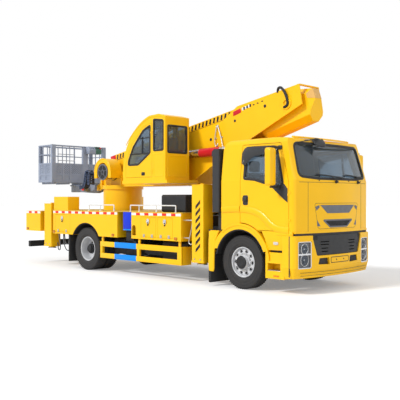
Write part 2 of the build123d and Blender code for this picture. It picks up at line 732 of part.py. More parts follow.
door_outline = [(door_rear_x, 1160), (door_front_x, 1160), (door_front_x, 2060), (4130, 2775),
                (door_rear_x, 2775)]
side_window = [(3300, 2130), (3560, 2110), (3830, 2040), (4190, 1960), (4240, 2050), (4050, 2690),
               (3300, 2690)]
windscreen = [(-1085, 2160), (-600, 2120), (600, 2120), (1085, 2160), (1030, 2775), (-1030, 2775)]
rear_window = [(-500, 2250), (500, 2250), (500, 2650), (-500, 2650)]


def side_opening(points, grow, out, mode=Mode.SUBTRACT):
    """A side outline, grown or shrunk, through one side wall of the cab."""
    y0, y1 = ordered(out * 1090, out * 1400)
    with BuildSketch(Plane.XZ.offset(-y0)) as outline:
        with BuildLine():
            Polyline(*points, close=True)
        make_face()
        fillet(vertices(), 25)
        if grow:
            offset(amount=grow, kind=Kind.INTERSECTION)
    extrude(outline.sketch, amount=y0 - y1, mode=mode)


def end_opening(points, grow, x0, x1, mode=Mode.SUBTRACT, corner=45):
    """A front or rear outline with rounded corners, grown or shrunk, between two x."""
    with BuildSketch(Plane.YZ.offset(x0)) as outline:
        with BuildLine():
            Polyline(*points, close=True)
        make_face()
        fillet(vertices(), corner)
        if grow:
            offset(amount=grow, kind=Kind.INTERSECTION)
    extrude(outline.sketch, amount=x1 - x0, mode=mode)


def wheel_house(radius, inner=700):
    """Clears the space over the front wheels, from inner to past the sides."""
    for side, out in side_signs:
        y0, y1 = ordered(out * inner, out * 1400)
        cross_bar(front_axle_x, tyre_radius, radius, y0, y1, Mode.SUBTRACT)


grille_upper = [(-540, 1610), (540, 1610), (360, 1492), (-360, 1492)]
grille_lower = [(-470, 1347), (470, 1347), (280, 1222), (-280, 1222)]


def grille_panel(shrink):
    """The two trapezoids of the grille through the cab's nose."""
    with BuildPart() as panel:
        for points in (grille_upper, grille_lower):
            with BuildSketch(Plane.YZ.offset(4300)) as outline:
                with BuildLine():
                    Polyline(*points, close=True)
                make_face()
                fillet(vertices(), 20)
                if shrink:
                    offset(amount=-shrink, kind=Kind.INTERSECTION)
            extrude(outline.sketch, amount=500)
    return panel.part


with BuildPart() as cab_shell:
    add(cab_outer)
    add(cab_inner, mode=Mode.SUBTRACT)
    # floor over the engine and housings over the wheels
    block(cab_rear_x + 20, 4300, -cab_half_width + 20, cab_half_width - 20, cab_bottom + 20, cab_bottom + 60)
    for side, out in side_signs:
        y0, y1 = ordered(out * 880, out * (cab_half_width - 6))
        cross_bar(front_axle_x, tyre_radius, fender_radius + 40, y0, y1)
    block(2000, 4700, -1400, 1400, -400, cab_bottom, Mode.SUBTRACT)
    wheel_house(fender_radius + seat_gap, 892)
    for side, out in side_signs:
        side_opening(door_outline, cab_door_gap, out)
    end_opening(windscreen, 0, 4000, 4800, corner=windscreen_corner)
    end_opening(rear_window, 0, cab_rear_x - 50, cab_rear_x + 100)
    with BuildPart(mode=Mode.PRIVATE) as grille_recess:
        add(grille_panel(0))
        add(glass_inner, mode=Mode.SUBTRACT)
    add(grille_recess.part, mode=Mode.SUBTRACT)
    # the door hinges' fixed halves
    for side, out in side_signs:
        for hinge_z in cab_hinges:
            y0, y1 = ordered(out * (cab_half_width - 40), out * (cab_hinge_y + 1))
            block(door_front_x + cab_door_gap, 4420, y0, y1, hinge_z + 40.3, hinge_z + 80)
            upright(cab_hinge_x, out * cab_hinge_y, 7, hinge_z + 40.3, hinge_z + 80)
save(cab_shell, "cab_shell")

with BuildPart() as cab_glass:
    add(glass_outer)
    add(glass_inner, mode=Mode.SUBTRACT)
    with BuildPart(mode=Mode.PRIVATE) as panes:
        end_opening(windscreen, -seat_gap, 4000, 4800, Mode.ADD, windscreen_corner)
        end_opening(rear_window, -seat_gap, cab_rear_x - 50, cab_rear_x + 100, Mode.ADD)
    add(panes.part, mode=Mode.INTERSECT)
save(cab_glass, "cab_glass")

for side, out in side_signs:
    with BuildPart() as cab_door:
        add(cab_outer)
        add(cab_inner, mode=Mode.SUBTRACT)
        side_opening(door_outline, 0, out, Mode.INTERSECT)
        side_opening(side_window, 0, out)
        wheel_house(fender_radius + 8 + cab_door_gap)
        for hinge_z in cab_hinges:
            y0, y1 = ordered(out * (cab_half_width - 1), out * (cab_hinge_y + 1))
            block(4300, cab_hinge_x, y0, y1, hinge_z, hinge_z + 40)
            upright(cab_hinge_x, out * cab_hinge_y, 7, hinge_z, hinge_z + 40)
    save(cab_door, f"cab_door_{side}")
    with BuildPart() as door_glass:
        add(glass_outer)
        add(glass_inner, mode=Mode.SUBTRACT)
        side_opening(side_window, -seat_gap, out, Mode.INTERSECT)
    save(door_glass, f"door_glass_{side}")
    with BuildPart() as mirror:
        y0, y1 = ordered(out * 1385, out * 1545)
        for z0, z1 in ((2023, 2250), (2290, 2660)):
            with BuildPart() as housing:
                with BuildSketch(Plane.XY.offset(z0)):
                    with Locations((4130, (y0 + y1) / 2)):
                        RectangleRounded(110, y1 - y0, 35)
                extrude(amount=z1 - z0)
                fillet(housing.edges().group_by(Axis.Z)[-1] + housing.edges().group_by(Axis.Z)[0], 18)
            add(housing.part)
        a0, a1 = ordered(out * 1177, out * 1470)
        cross_bar(4130, 2690, 14, a0, a1)
        upright(4130, out * 1450, 11, 2240, 2690)
        a0, a1 = ordered(out * (cab_half_width + seat_gap), out * 1470)
        cross_bar(4130, 1960, 14, a0, a1)
        upright(4130, out * 1450, 9, 1960, 2030)
    save(mirror, f"mirror_{side}")

with BuildPart() as cab_interior:
    # dashboard, wheel and two seats
    side_prism([(4400, 1700), (4400, 1960), (4300, 1990), (4130, 1985), (4070, 1930), (4080, 1760),
                (4130, 1700)],
               -1100, 1100)
    block(4140, 4290, -1080, 1080, cab_bottom + 60 + seat_gap, 1701)
    side_prism([(4130, 1985), (4090, 1960), (4110, 2060), (4200, 2080), (4260, 1988)], 380, 740)
    side_prism([(3640, cab_bottom + 60 + seat_gap), (4139, cab_bottom + 60 + seat_gap), (4139, 1430),
                (3640, 1330)],
               -260, 260)
    for seat_y in (-560, 560):
        y0, y1 = seat_y - 250, seat_y + 250
        side_prism([(3130, 1560), (3600, 1575), (3650, 1620), (3640, 1690), (3560, 1700), (3130, 1665)],
                   y0, y1)
        side_prism([(3131, 1560), (3131, 1700), (3040, 2250), (2990, 2262), (2940, 2230), (3010, 1560)],
                   y0, y1)
        side_prism([(3030, 2290), (2990, 2300), (2945, 2280), (2905, 2500), (2960, 2520), (3000, 2500)],
                   seat_y - 130, seat_y + 130)
        for stay in (-60, 60):
            block(2960, 2975, seat_y + stay - 6, seat_y + stay + 6, 2220, 2310)
        block(3180, 3590, seat_y - 190, seat_y + 190, cab_bottom + 60 + seat_gap, 1570)
    with BuildSketch(Plane(origin=(3960, 560, 2050), x_dir=(0, 1, 0), z_dir=(-0.5, 0, 0.87))):
        Circle(225)
        Circle(195, mode=Mode.SUBTRACT)
        Rectangle(400, 40)
    extrude(amount=24)
    with BuildSketch(Plane(origin=(3960, 560, 2050), x_dir=(0, 1, 0), z_dir=(0.5, 0, -0.87))):
        Circle(28)
    extrude(amount=200)
save(cab_interior, "cab_interior")

# Bumper with the step boxes below the doors
bumper_low = 300
bumper_crease = 500
bumper_opening = [(-800, 1200), (-800, 1010), (-690, 700), (690, 700), (800, 1010), (800, 1200)]
bumper_top = 1075
with BuildPart() as front_bumper:
    with BuildSketch(Plane.XY.offset(bumper_crease)):
        add(plan_face(-30))
    extrude(amount=bumper_top - bumper_crease)
    with BuildSketch(Plane.XY.offset(bumper_crease)):
        add(plan_face(-30))
    extrude(amount=bumper_low - bumper_crease, taper=14)
    with BuildSketch(Plane.XY.offset(bumper_low - 1)):
        add(plan_face(60))
    extrude(amount=bumper_top - bumper_low + 2, mode=Mode.SUBTRACT)
    block(2000, 4250, -1400, 1400, 0, 1200, Mode.SUBTRACT)
    end_opening(bumper_opening, 0, 4300, 4800)
    for side, out in side_signs:
        block(4380, 4480, *ordered(out * 1180, out * 810), 460, 990)
        block(4400, 4800, *ordered(out * 1160, out * 830), 480, 970, Mode.SUBTRACT)
        end_opening([(out * 330, 528), (out * 655, 540), (out * 620, 655), (out * 350, 655)], 0, 4500, 4800,
                    corner=15)
    for side, out in side_signs:
        y0, y1 = ordered(out * 1240, out * 900)
        block(3830, 4262, y0, y1, 277, 760)
        block(3880, 4180, *ordered(out * 1260, out * 1050), 420, 560, Mode.SUBTRACT)
    for side, out in side_signs:
        y0, y1 = ordered(out * rail_inner_y, out * (rail_inner_y + rail_flange))
        block(rail_front_x + seat_gap, 4440, y0, y1, 800, 1000)
        block(4380, 4440, y0, y1, 340, 1000)
        block(4380, 4570, y0, y1, 340, 500)
save(front_bumper, "front_bumper")

# Head lamps, and tail lamps on the underride bar
with BuildPart() as lamps:
    for side, out in side_signs:
        y0, y1 = ordered(out * 1155, out * 835)
        block(4400 + seat_gap, 4500, y0, y1, 485, 965)
        y0, y1 = ordered(out * 1150, out * 820)
        block(tail_x + 2, tail_x + 20 - seat_gap, y0, y1, 460, 580)
save(lamps, "lamps")

# Black trim: grille, air intake, visor
with BuildPart() as black_trim:
    # lower grille: a bowed panel with slots, and an open grille in the gap above it
    with BuildPart() as lower_grille:
        nose_band(702, 1000, -12, 10)
        nose_band(992, 1066, -14, 26)
        for gap_z in (1002, 1024, 1046):
            nose_band(gap_z, gap_z + 10, -30, 5, Mode.SUBTRACT)
        end_opening(bumper_opening, -4, 4300, 4800, Mode.INTERSECT)
        for slot_y in (-450, 450):
            for slot_z in (770, 830, 900, 950):
                half_slot = 95 if slot_z < 860 else 125
                block(4300, 4800, slot_y - half_slot, slot_y + half_slot, slot_z - 9, slot_z + 9,
                      Mode.SUBTRACT)
        for y0, y1 in ((-445, -385), (385, 445)):
            for z0, z1 in ((715, 750), (970, 985)):
                block(4440 + seat_gap, 4590, y0, y1, z0, z1)
    with BuildPart(mode=Mode.PRIVATE) as grille_plates:
        add(grille_panel(seat_gap))
        add(grille_floor, mode=Mode.SUBTRACT)
        add(cab_form(4), mode=Mode.INTERSECT)
        for slat_z in (1255, 1300, 1525, 1570):
            block(4300, 4800, -600, 600, slat_z - 9, slat_z + 9, Mode.SUBTRACT)
    with BuildPart(mode=Mode.PRIVATE) as grille_back:
        add(grille_panel(seat_gap))
        add(grille_floor, mode=Mode.SUBTRACT)
        add(cab_form(12), mode=Mode.INTERSECT)
    add(grille_plates.part)
    add(grille_back.part)
    # air intake behind the cab
    with BuildSketch(Plane.XY.offset(1480)):
        with Locations((2540, -1122)):
            RectangleRounded(200, 245, 40)
    extrude(amount=1230)
    side_prism([(2440, 2600), (2640, 2600), (2640, 2740), (2500, 2740), (2440, 2690)], -1240, -1005)
    block(2500, 2600, -1110, -1040, 1030, 1480)
    block(2500, 2600, -1110, -rail_inner_y - rail_flange - seat_gap, 960, 1030)
save(black_trim, "black_trim")

# Fenders over the front wheels and the mudguards behind them
with BuildPart() as mudguards:
    for side, out in side_signs:
        y0, y1 = ordered(out * 1262, out * 1120)
        with BuildSketch(Plane.XZ.offset(-y0)):
            with Locations((front_axle_x, tyre_radius)):
                Circle(fender_radius)
                Circle(wheel_arch_radius, mode=Mode.SUBTRACT)
            with Locations((front_axle_x, 65)):
                Rectangle(2400, 1400, mode=Mode.SUBTRACT)
        extrude(amount=y0 - y1)
        side_prism([(2370, 340), (2400, 340), (2480, 700), (2480, 1110), (2400, 1110), (2370, 1040)],
                   *ordered(out * 1240, out * 760))
        block(2400, 2412, *ordered(out * 1200, out * 700), 80, 341)
        block(2440, 2600, *ordered(out * 1240, out * 1120), 900, 1110)
        block(2400, 2450, *ordered(out * (rail_inner_y + rail_flange + seat_gap), out * 770), 900, 950)
    for side, out in side_signs:
        y0, y1 = ordered(out * 1230, out * 620)
        block(rear_axle_x - 760, rear_axle_x - 735, y0, y1, 180, locker_bottom - seat_gap)
save(mudguards, "mudguards")


# Boom
slope = radians(boom_slope)
boom_back = Plane(origin=(pivot_x, 0, pivot_z), x_dir=(0, 1, 0), z_dir=(-cos(slope), 0, -sin(slope)))


def boom_point(along, rise=0.0):
    """A point of the boom's middle plane, in X and Z."""
    return (pivot_x - along * cos(slope) - rise * sin(slope),
            pivot_z - along * sin(slope) + rise * cos(slope))


def boom_section(width, height, chamfer_size):
    """The boom's eight-sided outline."""
    Rectangle(width, height)
    chamfer(vertices(), chamfer_size)


def boom_tube(start, end, step, mode=Mode.ADD, shrink=0.0):
    """An eight-sided tube or core of the given step inward from the base section."""
    inward = step * (boom_wall + boom_play) + shrink
    with BuildSketch(boom_back.offset(start)) as outline:
        boom_section(boom_width - 2 * inward, boom_height - 2 * inward, boom_chamfer - 0.586 * inward)
    extrude(outline.sketch, amount=end - start, mode=mode)


def boom_top(x):
    """Height of the boom's upper face above x."""
    return pivot_z + boom_height / 2 / cos(slope) + (x - pivot_x) * tan(slope)


butt_outline = [
    (3350, boom_top(3350)), (3500, boom_top(3500)), (4073, 3908), (4139, 3711), (4077, 3270), (belly_x, 2958),
    (2700, boom_top(2700) - boom_height / cos(slope) + 20), (2700, boom_top(2700) - boom_height / 2),
    (3350, boom_top(3350) - boom_height / 2),
]


def butt_shape(shrink):
    """The boom's closed butt round its pivot, or its core."""
    with BuildPart() as shape:
        with BuildSketch(Plane.XZ.offset(boom_width / 2 - shrink)) as outline:
            with BuildLine():
                Polyline(*butt_outline, close=True)
            make_face()
            if shrink:
                offset(amount=-shrink, kind=Kind.INTERSECTION)
        extrude(outline.sketch, amount=-boom_width + 2 * shrink)
        long_edges = [
            edge for edge in shape.part.edges()
            if abs(abs(edge.center().Y) - boom_width / 2 + shrink) < 1
            and (edge.center().Z > 3800 or edge.center().Z < 3240)
        ]
        chamfer(long_edges, boom_chamfer)
    return shape.part


# telescoping sections: name, step inward, start and end along the boom
sections = (
    ("boom_base", 0, 200, base_reach),
    ("boom_second", 1, 230, base_reach + 90),
    ("boom_third", 2, 330, base_reach + 180),
    ("boom_fly", 3, 430, base_reach + 270),
)
for name, step, start, end in sections:
    with BuildPart() as section:
        boom_tube(start, end, step)
        if name == "boom_base":
            add(butt_shape(0))
            add(butt_shape(boom_wall), mode=Mode.SUBTRACT)
        boom_tube(start - 1, end + 1, step, Mode.SUBTRACT, shrink=boom_wall)
        if name != "boom_fly":
            # collar outside the mouth, and wear pads inside it that guide the next section
            boom_tube(end - collar_length, end, step, shrink=-collar_rise)
            boom_tube(end - collar_length - 1, end + 1, step, Mode.SUBTRACT, shrink=boom_wall)
            boom_tube(end - 120, end - 20, step, shrink=boom_wall - 1)
            boom_tube(end - 121, end - 19, step + 1, Mode.SUBTRACT, shrink=-seat_gap)
        if name == "boom_base":
            cross_bar(pivot_x, pivot_z, 110, boom_width / 2 - 4, plate_half_gap - running_gap)
            cross_bar(pivot_x, pivot_z, 110, -boom_width / 2 + 4, -plate_half_gap + running_gap)
            cross_bar(pivot_x, pivot_z, pin_radius, boom_width / 2 - 4, plate_half_gap + plate_thickness)
            cross_bar(pivot_x, pivot_z, pin_radius, -boom_width / 2 + 4, -plate_half_gap - plate_thickness)
            for out in (-1, 1):
                y0, y1 = ordered(out * (boom_width / 2 - 4), out * (luff_y - 60))
                cross_bar(luff_eye[0], luff_eye[1], 90, y0, y1)
                y0, y1 = ordered(out * (boom_width / 2 - 4), out * (luff_y + 80))
                cross_bar(luff_eye[0], luff_eye[1], 38, y0, y1)
                y0, y1 = ordered(out * (boom_width / 2 - 4), out * (boom_width / 2 + 16))
                cross_bar(luff_eye[0], luff_eye[1], 175, y0, y1)
        if name == "boom_fly":
            boom_tube(end - 60, end - 30, step, shrink=boom_wall - 1)
            boom_tube(end - 25, end, step, shrink=-collar_rise)
            boom_tube(end - 26, end + 1, step, Mode.SUBTRACT, shrink=boom_wall)
            cross_bar(*boom_point(end + 20, 95), 42, -101, 101)
            cross_bar(*boom_point(end - 110, -95), 30, -101, 101)
            for out in (-1, 1):
                y0, y1 = ordered(out * 100, out * 125)
                side_prism([boom_point(end - 200, 150), boom_point(end + 120, 150),
                            (mount_pin[0] + 60, mount_pin[1] + 120), (mount_pin[0] - 80, mount_pin[1] + 60),
                            (mount_pin[0] - 80, mount_pin[1] - 70), (mount_pin[0] + 70, mount_pin[1] - 80),
                            boom_point(end - 200, -150)], y0, y1)
            cross_bar(mount_pin[0], mount_pin[1], 30, -140, 140)
    save(section, name)


# Turret: two tall plates, their underside and the operator's platform
notch_x = -300
turret_outline = [
    (-2500, turret_bottom), (840, turret_bottom + 8), (2577, 2947), (3988, 3590), (3916, 3985),
    (2300, boom_top(2300)), (1890, boom_top(1890) - 190), (notch_x, boom_top(notch_x) - 190),
    (notch_x - 40, 2560), (-2420, 2350), (-2500, 2300),
]
turret_plate_y = plate_half_gap + plate_thickness
with BuildPart() as turret:
    for out in (-1, 1):
        y0, y1 = ordered(out * plate_half_gap, out * turret_plate_y)
        side_prism(turret_outline, y0, y1)
    upright(slew_x, 0, ring_radius, turret_bottom, turret_bottom + 40)
    block(-2440, 860, -plate_half_gap - 1, plate_half_gap + 1, turret_bottom, turret_bottom + 20)
    side_prism([(840, turret_bottom), (2400, 2858), (2390, 2880), (830, turret_bottom + 22)],
               -plate_half_gap - 1, plate_half_gap + 1)
    block(3850, 3925, -plate_half_gap - 5, plate_half_gap + 5, 3966, 3988)
    for out in (-1, 1):
        y0, y1 = ordered(out * (turret_plate_y - 1), out * (turret_plate_y + 20))
        cross_bar(pivot_x, pivot_z, 130, y0, y1)
        y0, y1 = ordered(out * (plate_half_gap - 2), out * (turret_plate_y + 21))
        cross_bar(pivot_x, pivot_z, pin_radius + seat_gap, y0, y1, Mode.SUBTRACT)
        y0, y1 = ordered(out * (turret_plate_y - 1), out * (luff_y + barrel_radius))
        cross_bar(luff_foot[0], luff_foot[1], 40, y0, y1)
        y0, y1 = ordered(out * (turret_plate_y - 1), out * (turret_plate_y + 9))
        cross_bar(luff_foot[0], luff_foot[1], 125, y0, y1)
        # stiffening flanges along the lower edge and over the ring
        y0, y1 = ordered(out * (turret_plate_y - 1), out * (turret_plate_y + 55))
        side_prism([(900, 2084), (2560, 2951), (2549, 2971), (889, 2104)], y0, y1)
        for rib_x in (-2380, -1580):
            block(rib_x - 9, rib_x + 9, y0, y1, turret_bottom, 2330)
    for tie_x, tie_z, tie_radius in ((-2390, 2130, 40), (-380, 2330, 40), (2300, 2920, 42)):
        cross_bar(tie_x, tie_z, tie_radius, -plate_half_gap - 2, plate_half_gap + 2)
    # operator's platform
    block(op_x[0] - 30, op_x[1] + 50, op_y[0], -turret_plate_y + 1, 2085, op_floor - seat_gap)
    block(op_x[0] + 200, op_x[1] - 300, -turret_plate_y + 1, -turret_plate_y - 120, 2085, 2300)
save(turret, "turret")

# Hose reel and its half-round guard beside the turret
reel_x, reel_z = -1950, 2420
with BuildPart() as turret_fittings:
    with BuildSketch(Plane.XZ.offset(turret_plate_y + seat_gap)):
        with Locations((reel_x, reel_z)):
            Circle(345)
            Rectangle(690, 300, align=(Align.CENTER, Align.MAX))
            Circle(235, mode=Mode.SUBTRACT)
            Rectangle(470, 301, align=(Align.CENTER, Align.MAX), mode=Mode.SUBTRACT)
            with Locations((0, -150)):
                Rectangle(800, 400, align=(Align.CENTER, Align.MAX), mode=Mode.SUBTRACT)
    extrude(amount=350)
    cross_bar(reel_x, reel_z, 60, -turret_plate_y - 340, -turret_plate_y - seat_gap)
    cross_bar(reel_x, reel_z, 200, -turret_plate_y - 320, -turret_plate_y - 290)
    cross_bar(reel_x, reel_z, 200, -turret_plate_y - 60, -turret_plate_y - 30)
    for gear_y in (-170, 170):
        upright(-1340, gear_y, 95, turret_bottom + 20 + seat_gap, 2190)
        upright(-1340, gear_y, 60, 2189, 2270)
    block(-760, -420, -230, 230, turret_bottom + 20 + seat_gap, 2270)
    # hose drum inside the guard
    cross_bar(reel_x, reel_z, 110, -turret_plate_y - 300, -turret_plate_y - 50)
save(turret_fittings, "turret_fittings")

# Luffing cylinders
luff_length = hypot(luff_foot[0] - luff_eye[0], luff_foot[1] - luff_eye[1])
luff_angle = atan2(luff_eye[1] - luff_foot[1], luff_eye[0] - luff_foot[0])
barrel_length = luff_length - 215
luff_line = Plane(origin=(luff_foot[0], 0, luff_foot[1]), x_dir=(0, 1, 0),
                  z_dir=(cos(luff_angle), 0, sin(luff_angle)))
with BuildPart() as luff_barrels:
    for out in (-1, 1):
        with BuildSketch(luff_line.offset(70)):
            with Locations((out * luff_y, 0)):
                Circle(barrel_radius)
        extrude(amount=barrel_length - 70)
        # jacket round the foot end and a collar round the head
        for near, far, radius in ((70, 70 + jacket_length, barrel_radius + 9),
                                  (barrel_length - 70, barrel_length, barrel_radius + 7)):
            with BuildSketch(luff_line.offset(near)):
                with Locations((out * luff_y, 0)):
                    Circle(radius)
            extrude(amount=far - near)
        y0, y1 = ordered(out * (luff_y - 50), out * (luff_y + 50))
        cross_bar(luff_foot[0], luff_foot[1], 85, y0, y1)
        cross_bar(luff_foot[0], luff_foot[1], 40 + seat_gap, y0 - 1, y1 + 1, Mode.SUBTRACT)
        with BuildSketch(luff_line.offset(140)):
            with Locations((out * luff_y, 0)):
                Circle(barrel_bore)
        extrude(amount=barrel_length, mode=Mode.SUBTRACT)
        with BuildSketch(luff_line.offset(barrel_length - 60)):
            with Locations((out * luff_y, 0)):
                Circle(barrel_radius)
                Circle(rod_radius + seat_gap, mode=Mode.SUBTRACT)
        extrude(amount=60)
save(luff_barrels, "luff_barrels")
with BuildPart() as luff_rods:
    for out in (-1, 1):
        with BuildSketch(luff_line.offset(185)):
            with Locations((out * luff_y, 0)):
                Circle(rod_radius)
        extrude(amount=luff_length - 185 - 60)
        with BuildSketch(luff_line.offset(145)):
            with Locations((out * luff_y, 0)):
                Circle(barrel_bore - seat_gap)
        extrude(amount=45)
        y0, y1 = ordered(out * (luff_y - 45), out * (luff_y + 45))
        cross_bar(luff_eye[0], luff_eye[1], 72, y0, y1)
        cross_bar(luff_eye[0], luff_eye[1], 38 + seat_gap, y0 - 1, y1 + 1, Mode.SUBTRACT)
save(luff_rods, "luff_rods")

# Platform mount and platform
with BuildPart() as basket_mount:
    arm = [(mount_pin[0] + 60, mount_pin[1] + 70), (mount_pin[0] + 60, mount_pin[1] - 70), (-3100, 1900),
           (-4020, 1940), (-4020, 2100), (-3100, 2130)]
    for out in (-1, 1):
        side_prism(arm, *ordered(out * 64, out * 90))
    cross_bar(mount_pin[0], mount_pin[1], 55, -65, 65)
    cross_bar(mount_pin[0], mount_pin[1], 30 + seat_gap, -91, 91, Mode.SUBTRACT)
    side_prism([(-3120, 1902), (-4020, 1941), (-4020, 1965), (-3120, 1926)], -65, 65)
    side_prism([(-3500, 2100), (-4020, 2078), (-4020, 2099), (-3500, 2121)], -65, 65)
    # swing head with its flange, and the motor across the arm
    turned([(0, 1930), (120, 1930), (130, 1945), (130, 2090), (165, 2100), (165, 2130), (118, 2145),
            (118, 2175), (0, 2175)], swing_x, 0)
    cross_bar(-3390, 2040, 96, -235, 235)
    cross_bar(-3390, 2040, 70, -262, 262)
    # levelling cylinder under the arm
    long_bar(0, 1985, 42, -3920, -3480)
save(basket_mount, "basket_mount")

# bays of the platform's framed panels: first y, last y, then first z, last z
panel_bays = ((-770, -565), (-515, -325), (-275, 85), (115, 395), (445, 770))
panel_rows = ((basket_floor + 35, basket_floor + 150), (basket_floor + 185, basket_panel_top - 35))
with BuildPart() as basket:
    bx0, bx1 = basket_x
    half = basket_half_width
    block(bx0, bx1, -half, half, basket_floor - 40, basket_panel_top)
    block(bx0 + 22, bx1 - 22, -half + 22, half - 22, basket_floor, basket_panel_top + 1, Mode.SUBTRACT)
    # shallow bays in the outer faces of the panels
    for z0, z1 in panel_rows:
        for y0, y1 in panel_bays:
            block(bx1 - 12, bx1 + 1, y0, y1, z0, z1, Mode.SUBTRACT)
            block(bx0 - 1, bx0 + 12, y0, y1, z0, z1, Mode.SUBTRACT)
        for x0, x1 in ((bx0 + 100, -4285), (-4235, bx1 - 100)):
            block(x0, x1, -half - 1, -half + 12, z0, z1, Mode.SUBTRACT)
            block(x0, x1, half - 12, half + 1, z0, z1, Mode.SUBTRACT)
    turned([(0, basket_floor - 60 + seat_gap), (150, basket_floor - 60 + seat_gap), (150, basket_floor - 39),
            (0, basket_floor - 39)], swing_x, 0)
    for beam_y in (-780, -330, 330, 780):
        block(bx0 + 40, bx1 - 40, beam_y - 30, beam_y + 30, basket_floor - 88, basket_floor - 39)
    # corner posts and the doubled post beside the control box
    for post_y in (-half + 58, half - 58):
        block(bx1 - 72, bx1 + 8, post_y - 58, post_y + 58, basket_floor, basket_top)
        block(bx0, bx0 + 50, post_y - 58, post_y - 8, basket_floor, basket_top - 10)
        block(bx0, bx0 + 50, post_y + 8, post_y + 58, basket_floor, basket_top - 10)
    block(bx1 - 60, bx1 + 4, 110, 280, basket_floor, basket_top - 40)
    # top rail, knee rail on the sides and the back
    for rail_x in (bx0 + 22, bx1 - 22):
        cross_bar(rail_x, basket_top - 22, 21, -half + 22, half - 22)
    for rail_y in (-half + 22, half - 22):
        long_bar(rail_y, basket_top - 22, 20, bx0 + 22, bx1 - 22)
        long_bar(rail_y, basket_panel_top + 230, 13, bx0 + 30, bx1 - 30)
        for post_x in (-4390, -4180):
            upright(post_x, rail_y, 12, basket_panel_top - 10, basket_top - 22)
    cross_bar(bx0 + 22, basket_panel_top + 230, 13, -half + 30, half - 30)
    # uprights: x, y
    for post_x, post_y in ((bx1 - 22, -552), (bx1 - 22, -314), (bx1 - 22, -173), (bx1 - 22, 560),
                           (bx0 + 22, -560), (bx0 + 22, -280), (bx0 + 22, 0), (bx0 + 22, 280),
                           (bx0 + 22, 560)):
        upright(post_x, post_y, 12, basket_panel_top - 10, basket_top - 22)
    # control box outside the rail, on a bracket
    side_prism([(bx1 + 4, 3010), (bx1 + 190, 3010), (bx1 + 200, 3120), (bx1 + 120, 3215),
                (bx1 + 4, 3215)], 205, 610)
    block(bx1 - 40, bx1 + 60, 300, 560, 3150, 3180)
save(basket, "basket")


# Operator's cab
def op_form(inset):
    """The operator's cab: a bowed glazed front towards the tail and a rounded roof."""
    low = op_floor + inset
    x0, x1 = op_x[0] + inset, op_x[1] - inset
    top = op_roof - inset
    with BuildPart() as form:
        with BuildSketch(Plane.XZ.offset(-op_y[0] - inset)):
            with BuildLine():
                Line((x0, low), (x0, 2480))
                ThreePointArc((x0, 2480), (x0 + 235 - inset * 0.2, 3085 - inset * 0.3), (560, top - 15))
                Line((560, top - 15), (860, top))
                Line((860, top), (x1, top - 60))
                Line((x1, top - 60), (x1, low))
                Line((x1, low), (x0, low))
            make_face()
        extrude(amount=op_y[0] - op_y[1] + 2 * inset)
        fillet(form.edges().group_by(Axis.Z)[-1], 20)
    return form.part


op_outer = op_form(0)
op_inner = op_form(op_wall)
op_glass_outer = op_form(10)
op_glass_inner = op_form(15)
op_door_outline = [(op_door_x[0], 2230), (op_door_x[1], 2230), (op_door_x[1], 3420), (330, 3330), (-60, 2960),
                   (op_door_x[0], 2560)]
op_door_window = [(-170, 2510), (170, 2510), (580, 2760), (580, 3360), (340, 3260), (0, 2910), (-170, 2600)]
op_side_window = [(700, 2800), (1010, 2800), (1010, 3440), (700, 3480)]
op_rear_window = [(-1195, 2750), (-635, 2750), (-635, 3330), (-1195, 3330)]


def op_side_cut(points, grow, y0, y1, mode=Mode.SUBTRACT):
    """A side outline of the operator's cab between two y."""
    with BuildSketch(Plane.XZ.offset(-y0)) as outline:
        with BuildLine():
            Polyline(*points, close=True)
        make_face()
        fillet(vertices(), 30)
        if grow:
            offset(amount=grow, kind=Kind.INTERSECTION)
    extrude(outline.sketch, amount=y0 - y1, mode=mode)


with BuildPart() as operator_cab:
    add(op_outer)
    add(op_inner, mode=Mode.SUBTRACT)
    op_side_cut(op_door_outline, running_gap, op_y[0] - 10, op_y[0] + 100)
    op_side_cut(op_side_window, 0, op_y[0] - 10, op_y[0] + 100)
    op_side_cut(op_side_window, 0, op_y[1] - 100, op_y[1] + 10)
    op_side_cut(op_door_window, 0, op_y[1] - 100, op_y[1] + 10)
    end_opening(op_rear_window, 0, op_x[1] - 60, op_x[1] + 20)
    block(op_x[0] - 10, 300, op_y[0] + 60, op_y[1] - 60, 2520, 3330, Mode.SUBTRACT)
    for hinge_z in op_hinges:
        block(op_door_x[1] + running_gap + 1, op_door_x[1] + 50, op_y[0] - 8, op_y[0] + 1,
              hinge_z + 40.3, hinge_z + 80)
        upright(op_hinge[0], op_hinge[1], 6, hinge_z + 40.3, hinge_z + 80)
save(operator_cab, "operator_cab")
with BuildPart() as op_panes:
    op_side_cut(op_side_window, -seat_gap, op_y[0] - 10, op_y[0] + 100, Mode.ADD)
    op_side_cut(op_side_window, -seat_gap, op_y[1] - 100, op_y[1] + 10, Mode.ADD)
    op_side_cut(op_door_window, -seat_gap, op_y[1] - 100, op_y[1] + 10, Mode.ADD)
    end_opening(op_rear_window, -seat_gap, op_x[1] - 60, op_x[1] + 20, Mode.ADD)
    block(op_x[0] - 10, 300 - seat_gap, op_y[0] + 60 + seat_gap, op_y[1] - 60 - seat_gap,
          2520 + seat_gap, 3330 - seat_gap)
with BuildPart() as operator_glass:
    add(op_glass_outer)
    add(op_glass_inner, mode=Mode.SUBTRACT)
    add(op_panes.part, mode=Mode.INTERSECT)
save(operator_glass, "operator_glass")
with BuildPart() as operator_door:
    add(op_outer)
    add(op_inner, mode=Mode.SUBTRACT)
    op_side_cut(op_door_outline, 0, op_y[0] - 10, op_y[0] + 100, Mode.INTERSECT)
    op_side_cut(op_door_window, 0, op_y[0] - 10, op_y[0] + 100)
    for hinge_z in op_hinges:
        block(op_door_x[1] - 50, op_hinge[0], op_y[0] - 8, op_y[0], hinge_z, hinge_z + 40)
        upright(op_hinge[0], op_hinge[1], 6, hinge_z, hinge_z + 40)
save(operator_door, "operator_door")
